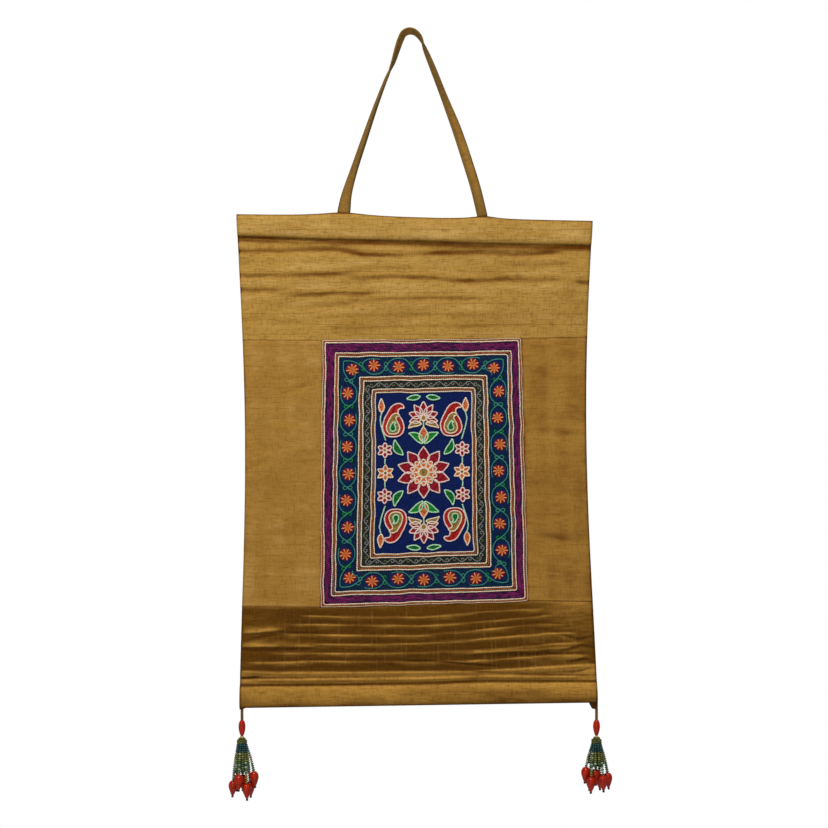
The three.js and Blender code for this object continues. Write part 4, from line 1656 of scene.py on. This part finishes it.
# Hanging strap from its left root over the top to its right root: x and z of its middle line in
# millimetres, and its turn in degrees, where 90 shows its face to the front and 0 shows its edge
STRAP_LINE = np.array([
    (-65.3, -178.5, 88), (-62.2, -159.5, 60), (-55, -135.5, 41), (-44.9, -105.5, 32), (-34.6, -75.5, 21),
    (-25.7, -51.5, 13), (-20.8, -39.5, 8), (-15.8, -27.5, -12), (-12, -15.5, -23), (-8.6, -5.5, -28),
    (-5, 1.2, -28), (1, 3.5, -28), (7, 1.5, -20), (11.9, -4.3, -10), (16.4, -15.5, 19), (23.8, -33.5, 31),
    (35.5, -63.5, 39), (47.2, -93.5, 55), (57.3, -123.5, 62), (66.6, -153.5, 63), (73.6, -182.5, 64),
]) * (0.001, 0.001, math.radians(1))
STRAP_STEPS = 14

# Its section as shares of its size: fall to the edges and how late, and a ridge beside each edge
STRAP_FALL = 0.72
STRAP_FULLNESS = 6
RIDGE_RISE = 0.22
RIDGE_PLACE = 0.36
RIDGE_WIDTH = 0.06

# How much wider it is at its left root and how far along, and the painted shade of its edges
ROOT_WIDER = 0.12
ROOT_LENGTH = mm(14)
STRAP_EDGE_SHADE = 0.4
STRAP_EDGE_WIDTH = 0.17

# Painted light and shade along the strap from its left root to its right one
STRAP_PAINTED_SHADING = Route(
    mm(-66, -60, -50, -35, -15, 0, 15, 35, 50, 66, 74),
    np.array([0.6, 0.58, 0.43, 0.46, 0.74, 0.78, 0.62, 0.6, 0.74, 0.7, 0.56])
)

# How far its ends reach in under the top edge
STRAP_TUCK = mm(1.2)


def smooth_line(points, steps):
    """Points on a smooth curve through the given ones, that many between each two."""
    padded = np.vstack([2 * points[0] - points[1], points, 2 * points[-1] - points[-2]])
    share = np.linspace(0, 1, steps, endpoint=False)[:, None]
    spans = []
    for p0, p1, p2, p3 in zip(padded, padded[1:], padded[2:], padded[3:]):
        lift = (p2 - p0) / 2
        land = (p3 - p1) / 2
        turn = p2 - p1
        square = 3 * turn - 2 * lift - land
        cube = lift + land - 2 * turn
        spans.append(p1 + lift * share + square * share**2 + cube * share**3)
    return np.vstack([*spans, points[-1:]])


class HANGING_OT_strap(bpy.types.Operator):
    """Make the twisted hanging strap with its turned edges"""

    bl_idname = "hanging.strap"
    bl_label = "Strap"

    def execute(self, context):
        sizes = context.scene.hanging_sizes
        colours = context.scene.hanging_silk
        line = smooth_line(STRAP_LINE, STRAP_STEPS)
        middle = np.stack([line[:, 0], np.zeros(len(line)), line[:, 1]], axis=1)
        tangent = np.gradient(middle, axis=0)
        tangent /= np.linalg.norm(tangent, axis=1, keepdims=True)
        outside = np.stack([-tangent[:, 2], np.zeros(len(line)), tangent[:, 0]], axis=1)
        turn = line[:, 2:3]
        widthways = np.array([[0.0, 1.0, 0.0]]) * np.cos(turn) + outside * np.sin(turn)
        backwards = np.cross(widthways, tangent)
        reach = np.concatenate([[0], np.cumsum(np.linalg.norm(np.diff(middle, axis=0), axis=1))])
        last = len(line) - 1
        width = sizes.strap_width * (1 + ROOT_WIDER * near_line(reach, ROOT_LENGTH))
        tone = []

        def place(across, row, is_back):
            at = np.rint(row * last).astype(int)
            offset = (across - 0.5)[:, None]
            # Painted light and shade along the strap, with painted shade on both edges
            at_edge = near_line(np.abs(across - 0.5) - 0.5, STRAP_EDGE_WIDTH)
            tone.append(STRAP_PAINTED_SHADING.at(line[at, 0]) - STRAP_EDGE_SHADE * at_edge)
            crown = 1 - STRAP_FALL * np.abs(2 * offset) ** STRAP_FULLNESS
            ridge = RIDGE_RISE * near_line(np.abs(offset) - RIDGE_PLACE, RIDGE_WIDTH)
            half = sizes.strap_thick / 2 * (crown + ridge)
            spots = (
                middle[at]
                + widthways[at] * offset * width[at][:, None]
                + backwards[at] * np.where(is_back[:, None], half, -half)
            )
            ends = (at == 0) | (at == last)
            spots[ends, 2] = top_edge(spots[ends, 0]) - STRAP_TUCK
            return spots, np.stack([across * sizes.strap_width, reach[at]], axis=1)

        mesh = closed_sheet("strap", np.linspace(0, 1, 19), np.linspace(0, 1, last + 1), place)
        store_painted_shading(mesh, tone[0])
        colours_and_painted_light = (colours.strap, colours.strap_painted_light, colours.strap_painted_shade, colours.line)
        material = silk("strap_silk", colours_and_painted_light, 0.0, 0.15)
        piece = new_piece(mesh, "strap", "silk_strap", material, "hanging_strap")
        return {"FINISHED"}


# Tassels
CORD_RADIUS = mm(1.35)
CORD_LENGTH = mm(10)
CORD_STEPS = 40
CORD_TURNS = 5
OVAL_LENGTH = mm(15.6)
OVAL_WIDTH = mm(7)
HEAD_LENGTH = mm(7)
STRING_ROOT = mm(4.2)
STRING_ROOT_SHARE = 0.44
STRING_BOW = 0.06
INNER_COUNT = 8
INNER_ROOT = mm(2.3)
INNER_SPREAD = mm(5.4)
OUTER_SPREAD = mm(8)
OUTER_LIFT = mm(3)


class Tassel(NamedTuple):
    """Where a tassel hangs and how its strings lie, with turns in degrees.

    Turn and foot are those of its inner plain strings, and between has the turns of the outer ones. Tips
    are those of its drops in millimetres, with x and y from its own axis.
    """

    x: float
    top: float
    turn: float
    foot: float
    between: list
    tips: list

    @property
    def head_top(self):
        return self.top - GAP - CORD_LENGTH - GAP - OVAL_LENGTH - GAP


TASSELS = {
    "left": Tassel(
        mm(-167), mm(-675), 8, mm(-738.5), [69.9, 98.7, 161.6, 224.8, 280.4, 336.5],
        [
            (-9.4, -2.6, -762.6), (-2.7, -9.5, -756), (5.6, -7.5, -765.3), (13.1, 1.4, -753.9),
            (8.4, 7.3, -764.5), (-6, 7.8, -758.5), (0.8, 0.1, -757),
        ],
    ),
    "right": Tassel(
        mm(187.5), mm(-674.5), 30, mm(-732.5), [40, 98, 157, 257.9, 286.7, 342.9],
        [
            (-11.9, -0.3, -749.3), (-6.3, -7.3, -758.4), (6.6, -6.5, -757.1), (12.4, 2.3, -755.4),
            (4.2, 9.6, -757.5), (-6.6, 8, -758), (-0.8, -0.1, -751.5),
        ],
    ),
}

# Profiles from the top down: radius and height
DROP_LENGTH = mm(15)
DROP_WIDTH = mm(9)
DROP_PROFILE = [
    (1.2, 0), (2.3, -0.35), (3.2, -1.1), (3.9, -2.2), (4.35, -3.5), (4.5, -5), (4.35, -6.6), (3.9, -8.3),
    (3.25, -10), (2.55, -11.6), (1.8, -13.2), (1.25, -14.4), (0.9, -15),
]
STOP_LENGTH = mm(2)
STOP_WIDTH = mm(2.5)
OVAL_SKEW = 0.8
OVAL_END = 0.4

# Rows of seed beads down a tassel: depth under the head's top where each colour ends
BEAD_ENDS = mm(7.5, 16, 25, 36, 99)
BEAD_NAMES = ["olive", "blue", "lime", "sea_green", "honey"]
CLEAR_SHARE = 0.2

# Rings of beads over the head: depth, distance out from the axis, and number
HEAD_RINGS = [(2.6, 2.4, 8), (4.4, 3.3, 10), (6.2, 3.8, 12)]


def string_line(root, end):
    """The line of one string from its root inside the head to its end, bowed a little outwards."""
    inside = root + (0, 0, -HEAD_LENGTH * 0.5)
    mouth = root + (0, 0, -HEAD_LENGTH * 1.1)
    belly = mix(mouth, end, 0.5) + end * (STRING_BOW, STRING_BOW, 0)
    return smooth_line(np.array([inside, mouth, belly, end]), 8)


def long_string(tassel, tip):
    """A long string under the head's top, the top of its drop and the way that the drop points."""
    end = mm(*tip) - (0, 0, tassel.head_top)
    way = end * (0.35, 0.35, 1)
    way = way / np.linalg.norm(way)
    drop_top = end - way * (DROP_LENGTH + STOP_LENGTH)
    share = min(STRING_ROOT_SHARE, STRING_ROOT / np.hypot(end[0], end[1]))
    return string_line(end * (share, share, 0), drop_top - way * GAP * 0.3), drop_top, way


def ring_strings(turns, root, spread, depth):
    """Short strings without drops, in a ring at turns in degrees."""
    angles = np.radians(turns)
    ways = np.column_stack([rays(angles), np.zeros(len(angles))])
    return [string_line(way * root, way * spread + (0, 0, depth)) for way in ways]


def plain_strings(tassel):
    """The inner ring of plain strings, and the outer ones between the long strings."""
    depth = tassel.foot - tassel.head_top
    turns = tassel.turn + np.arange(INNER_COUNT) * 360 / INNER_COUNT
    inner = ring_strings(turns, INNER_ROOT, INNER_SPREAD, depth)
    return inner + ring_strings(tassel.between, STRING_ROOT, OUTER_SPREAD, depth + OUTER_LIFT)


def seed_beads(sizes, beads, line, seed):
    """The seed beads threaded on one string, coloured in rows by their depth."""
    rng = np.random.default_rng(seed)
    spots = evenly(line, sizes.seed_bead * 0.78)
    start, end = spots[:-1], spots[1:]
    depth = -(start + end)[:, 2] / 2 + rng.uniform(mm(-1), mm(1))
    palette = np.array([tuple(getattr(beads, name)) for name in BEAD_NAMES])
    colour = palette[np.searchsorted(BEAD_ENDS, depth)]
    clear = (rng.uniform(0, 1, len(start)) < CLEAR_SHARE) & (depth > BEAD_ENDS[1])
    shade = rng.uniform(0.55, 1.15, (len(start), 1))
    colour = np.where(clear[:, None], np.array(beads.clear), colour) * shade
    swell = 0.94 + 0.3 * smoothstep(depth, mm(12), mm(34))
    width = sizes.seed_bead * rng.uniform(0.94, 1.06, len(start)) * swell
    return run_of(start, end, width, width, colour)


def shifted(run, offset):
    return run._replace(start=run.start + offset, end=run.end + offset)


class HANGING_OT_tassels(bpy.types.Operator):
    """Make the two corner tassels: cord, oval bead, strings of seed beads and drops"""

    bl_idname = "hanging.tassels"
    bl_label = "Tassels"

    def execute(self, context):
        seed_glass = glass("seed_bead_glass", 0.25)
        red_glass = glass("red_glass", 0.12)
        for side, tassel in TASSELS.items():
            self.cord(context, side, tassel)
            self.oval_bead(context, side, tassel, red_glass)
            self.strings(context, side, tassel, seed_glass)
            self.drops(context, side, tassel, red_glass)
        return {"FINISHED"}

    @staticmethod
    def cord(context, side, tassel):
        """Two strands twisted round each other."""
        colour = tuple(context.scene.hanging_beads.cord)
        foot = tassel.top - GAP * 2 - CORD_LENGTH
        height = np.linspace(tassel.top, foot, CORD_STEPS)
        turns = np.linspace(0, CORD_TURNS * math.tau, CORD_STEPS)
        width = CORD_RADIUS * 1.25
        runs = []
        for phase in (0, math.pi):
            ring = rays(turns + phase) * CORD_RADIUS * 0.55
            line = np.column_stack([ring, height]) + (tassel.x, 0, 0)
            runs.append(run_of(line[:-1], line[1:], width, width, colour))
        run = joined_runs(runs)
        middle, half = (run.start + run.end) / 2, (run.end - run.start) * 0.8
        start, end = middle - half, middle + half
        for ends in (start, end):
            ends[:, 2] = np.clip(ends[:, 2], foot, tassel.top)
        mesh = copies_mesh(f"cord_{side}_twist", grain_form(7, 5), run._replace(start=start, end=end))
        material = bpy.data.materials.get("cord_thread") or stitched("cord_thread", 0.7)
        new_piece(mesh, f"cord_{side}_twist", "cord_thread", material, f"cord_{side}")

    @staticmethod
    def oval_bead(context, side, tassel, material):
        beads = context.scene.hanging_beads
        top = np.array([tassel.x, 0, tassel.head_top + GAP + OVAL_LENGTH])
        share = np.linspace(0, 1, 17)
        radius = OVAL_END + (1 - OVAL_END) * np.sin(np.pi * share**OVAL_SKEW) ** 0.8
        form = turned_form([(r, -2 * s) for r, s in zip(radius, share)], 24)
        run = run_of([top - (0, 0, OVAL_LENGTH)], [top], OVAL_WIDTH, OVAL_WIDTH, tuple(beads.red))
        mesh = copies_mesh(f"oval_bead_{side}_glass", form, run)
        new_piece(mesh, f"oval_bead_{side}_glass", "red_glass", material, f"oval_bead_{side}")

    @staticmethod
    def strings(context, side, tassel, material):
        sizes = context.scene.hanging_sizes
        beads = context.scene.hanging_beads
        lines = [long_string(tassel, tip)[0] for tip in tassel.tips] + plain_strings(tassel)
        runs = [seed_beads(sizes, beads, line, 900 + index) for index, line in enumerate(lines)]
        span = np.array([0, 0, mm(1)])
        width = sizes.seed_bead
        for depth, radius, count in HEAD_RINGS:
            ring = rays(np.arange(count) * math.tau / count + depth) * mm(radius)
            middle = np.column_stack([ring, np.full(count, -mm(depth))])
            runs.append(run_of(middle - span, middle + span, width, width, tuple(beads.olive)))
        runs.append(run_of([(0, 0, mm(-2.4))], [(0, 0, GAP)], mm(4.4), mm(4.4), tuple(beads.gold)))
        bundle = shifted(joined_runs(runs), np.array([tassel.x, 0, tassel.head_top]))
        mesh = copies_mesh(f"tassel_{side}_beads", grain_form(8, 6), bundle)
        new_piece(mesh, f"tassel_{side}_beads", "seed_beads", material, f"tassel_{side}")

    @staticmethod
    def drops(context, side, tassel, material):
        beads = context.scene.hanging_beads
        form = turned_form(DROP_PROFILE, 18)
        routes = [long_string(tassel, tip) for tip in tassel.tips]
        start = np.array([drop_top for _, drop_top, _ in routes]) + (tassel.x, 0, tassel.head_top)
        way = np.array([direction for _, _, direction in routes])
        end = start + way * DROP_LENGTH
        body = run_of(end, start, DROP_WIDTH, DROP_WIDTH, tuple(beads.red))
        names = [f"drop_{side}_{index + 1}" for index in range(len(tassel.tips))]
        mesh = copies_mesh(f"drops_{side}", form, body)
        new_piece(mesh, f"drops_{side}", "red_glass", material, *names)
        tips = end + way * STOP_LENGTH
        stops = run_of(end - way * mm(0.5), tips, STOP_WIDTH, STOP_WIDTH, tuple(beads.stop))
        mesh = copies_mesh(f"stop_beads_{side}", grain_form(10, 6), stops)
        new_piece(mesh, f"stop_beads_{side}", "red_glass", material)


# Stage
VIEW_MIDDLE = Vector((mm(5), 0, mm(-379.5)))
VIEW_SIZE = mm(828)
CAMERA_AWAY = 2.392
SENSOR = 36.0
FLOOR_HEIGHT = -1.3
FLOOR_COLOURS = ((0.8, 0.8, 0.79), (0.86, 0.86, 0.85))
SURROUND_LIGHT = 0.2

# Soft lights: place, width and power
LIGHTS = {
    "key": ((-0.3, -1.0, 0.85), 1.0, 27.0),
    "fill": ((-0.5, -2.2, -0.5), 1.8, 8.0),
}


class HANGING_OT_stage(bpy.types.Operator):
    """Make the pale floor, the soft lights, the white surround and the camera"""

    bl_idname = "hanging.stage"
    bl_label = "Stage"

    def execute(self, context):
        self.floor()
        self.world(context.scene)
        for name, row in LIGHTS.items():
            self.light(name, *row)
        self.camera(context.scene)
        context.scene.view_settings.view_transform = "Standard"
        return {"FINISHED"}

    @staticmethod
    def floor():
        bm = bmesh.new()
        bmesh.ops.create_grid(bm, x_segments=8, y_segments=8, size=2.0)
        bmesh.ops.translate(bm, verts=bm.verts, vec=(0, 0, FLOOR_HEIGHT))
        mesh = finished(bm, "floor")
        material, tree, shader = surface("pale_floor", roughness=0.8)
        colour = mix_colour(tree, object_noise(tree, 9.0, 3.0), *FLOOR_COLOURS)
        tree.links.new(colour, shader.inputs["Base Color"])
        mesh.materials.append(material)
        floor = bpy.data.objects.new("floor", mesh)
        bpy.context.scene.collection.objects.link(floor)

    @staticmethod
    def world(scene):
        """White to the eye and softer as a light."""
        world = bpy.data.worlds.new("white_surround")
        world.use_nodes = True
        tree = world.node_tree
        tree.nodes.clear()
        seen = add_node(tree, "ShaderNodeLightPath").outputs["Is Camera Ray"]
        dim = add_node(tree, "ShaderNodeBackground", {"Color": (1, 1, 1, 1), "Strength": SURROUND_LIGHT})
        bright = add_node(tree, "ShaderNodeBackground", {"Color": (1, 1, 1, 1), "Strength": 1.0})
        both = add_node(tree, "ShaderNodeMixShader", {0: seen, 1: dim.outputs[0], 2: bright.outputs[0]})
        add_node(tree, "ShaderNodeOutputWorld", {0: both.outputs[0]})
        scene.world = world

    @staticmethod
    def light(name, place, size, power):
        data = bpy.data.lights.new(name, "AREA")
        data.shape = "DISK"
        data.size = size
        data.energy = power
        lamp = bpy.data.objects.new(name, data)
        lamp.location = place
        lamp.rotation_euler = (VIEW_MIDDLE - Vector(place)).to_track_quat("-Z", "Y").to_euler()
        bpy.context.scene.collection.objects.link(lamp)

    @staticmethod
    def camera(scene):
        data = bpy.data.cameras.new("camera")
        data.sensor_width = SENSOR
        data.lens = SENSOR * CAMERA_AWAY / VIEW_SIZE
        camera = bpy.data.objects.new("camera", data)
        camera.location = VIEW_MIDDLE + Vector((0, -CAMERA_AWAY, 0))
        camera.rotation_euler = (math.pi / 2, 0, 0)
        scene.collection.objects.link(camera)
        scene.camera = camera


PIECES = [
    HANGING_OT_stage,
    HANGING_OT_strap,
    HANGING_OT_top_band,
    HANGING_OT_side_panels,
    HANGING_OT_bottom_band,
    HANGING_OT_couched_frames,
    HANGING_OT_purple_band,
    HANGING_OT_vine_band,
    HANGING_OT_narrow_band,
    HANGING_OT_field_motifs,
    HANGING_OT_embroidered_cloth,
    HANGING_OT_tassels,
]
SETTINGS = {
    "hanging_sizes": HangingSizes,
    "hanging_silk": SilkColours,
    "hanging_threads": ThreadColours,
    "hanging_beads": BeadColours,
}


class HANGING_PT_panel(bpy.types.Panel):
    """The pieces of the hanging, in the order that they are made"""

    bl_idname = "HANGING_PT_panel"
    bl_label = "Wall hanging"
    bl_space_type = "VIEW_3D"
    bl_region_type = "UI"
    bl_category = "Hanging"

    def draw(self, context):
        for piece in PIECES:
            self.layout.operator(piece.bl_idname)
        for name, group in SETTINGS.items():
            box = self.layout.box()
            for key in group.__annotations__:
                box.prop(getattr(context.scene, name), key)


CLASSES = [*SETTINGS.values(), *PIECES, HANGING_PT_panel]


def register():
    for item in CLASSES:
        bpy.utils.register_class(item)
    for name, group in SETTINGS.items():
        setattr(bpy.types.Scene, name, PointerProperty(type=group))


def unregister():
    for name in SETTINGS:
        delattr(bpy.types.Scene, name)
    for item in reversed(CLASSES):
        bpy.utils.unregister_class(item)


def main():
    register()
    for piece in PIECES:
        group, name = piece.bl_idname.split(".")
        getattr(getattr(bpy.ops, group), name)()


if __name__ == "__main__":
    main()
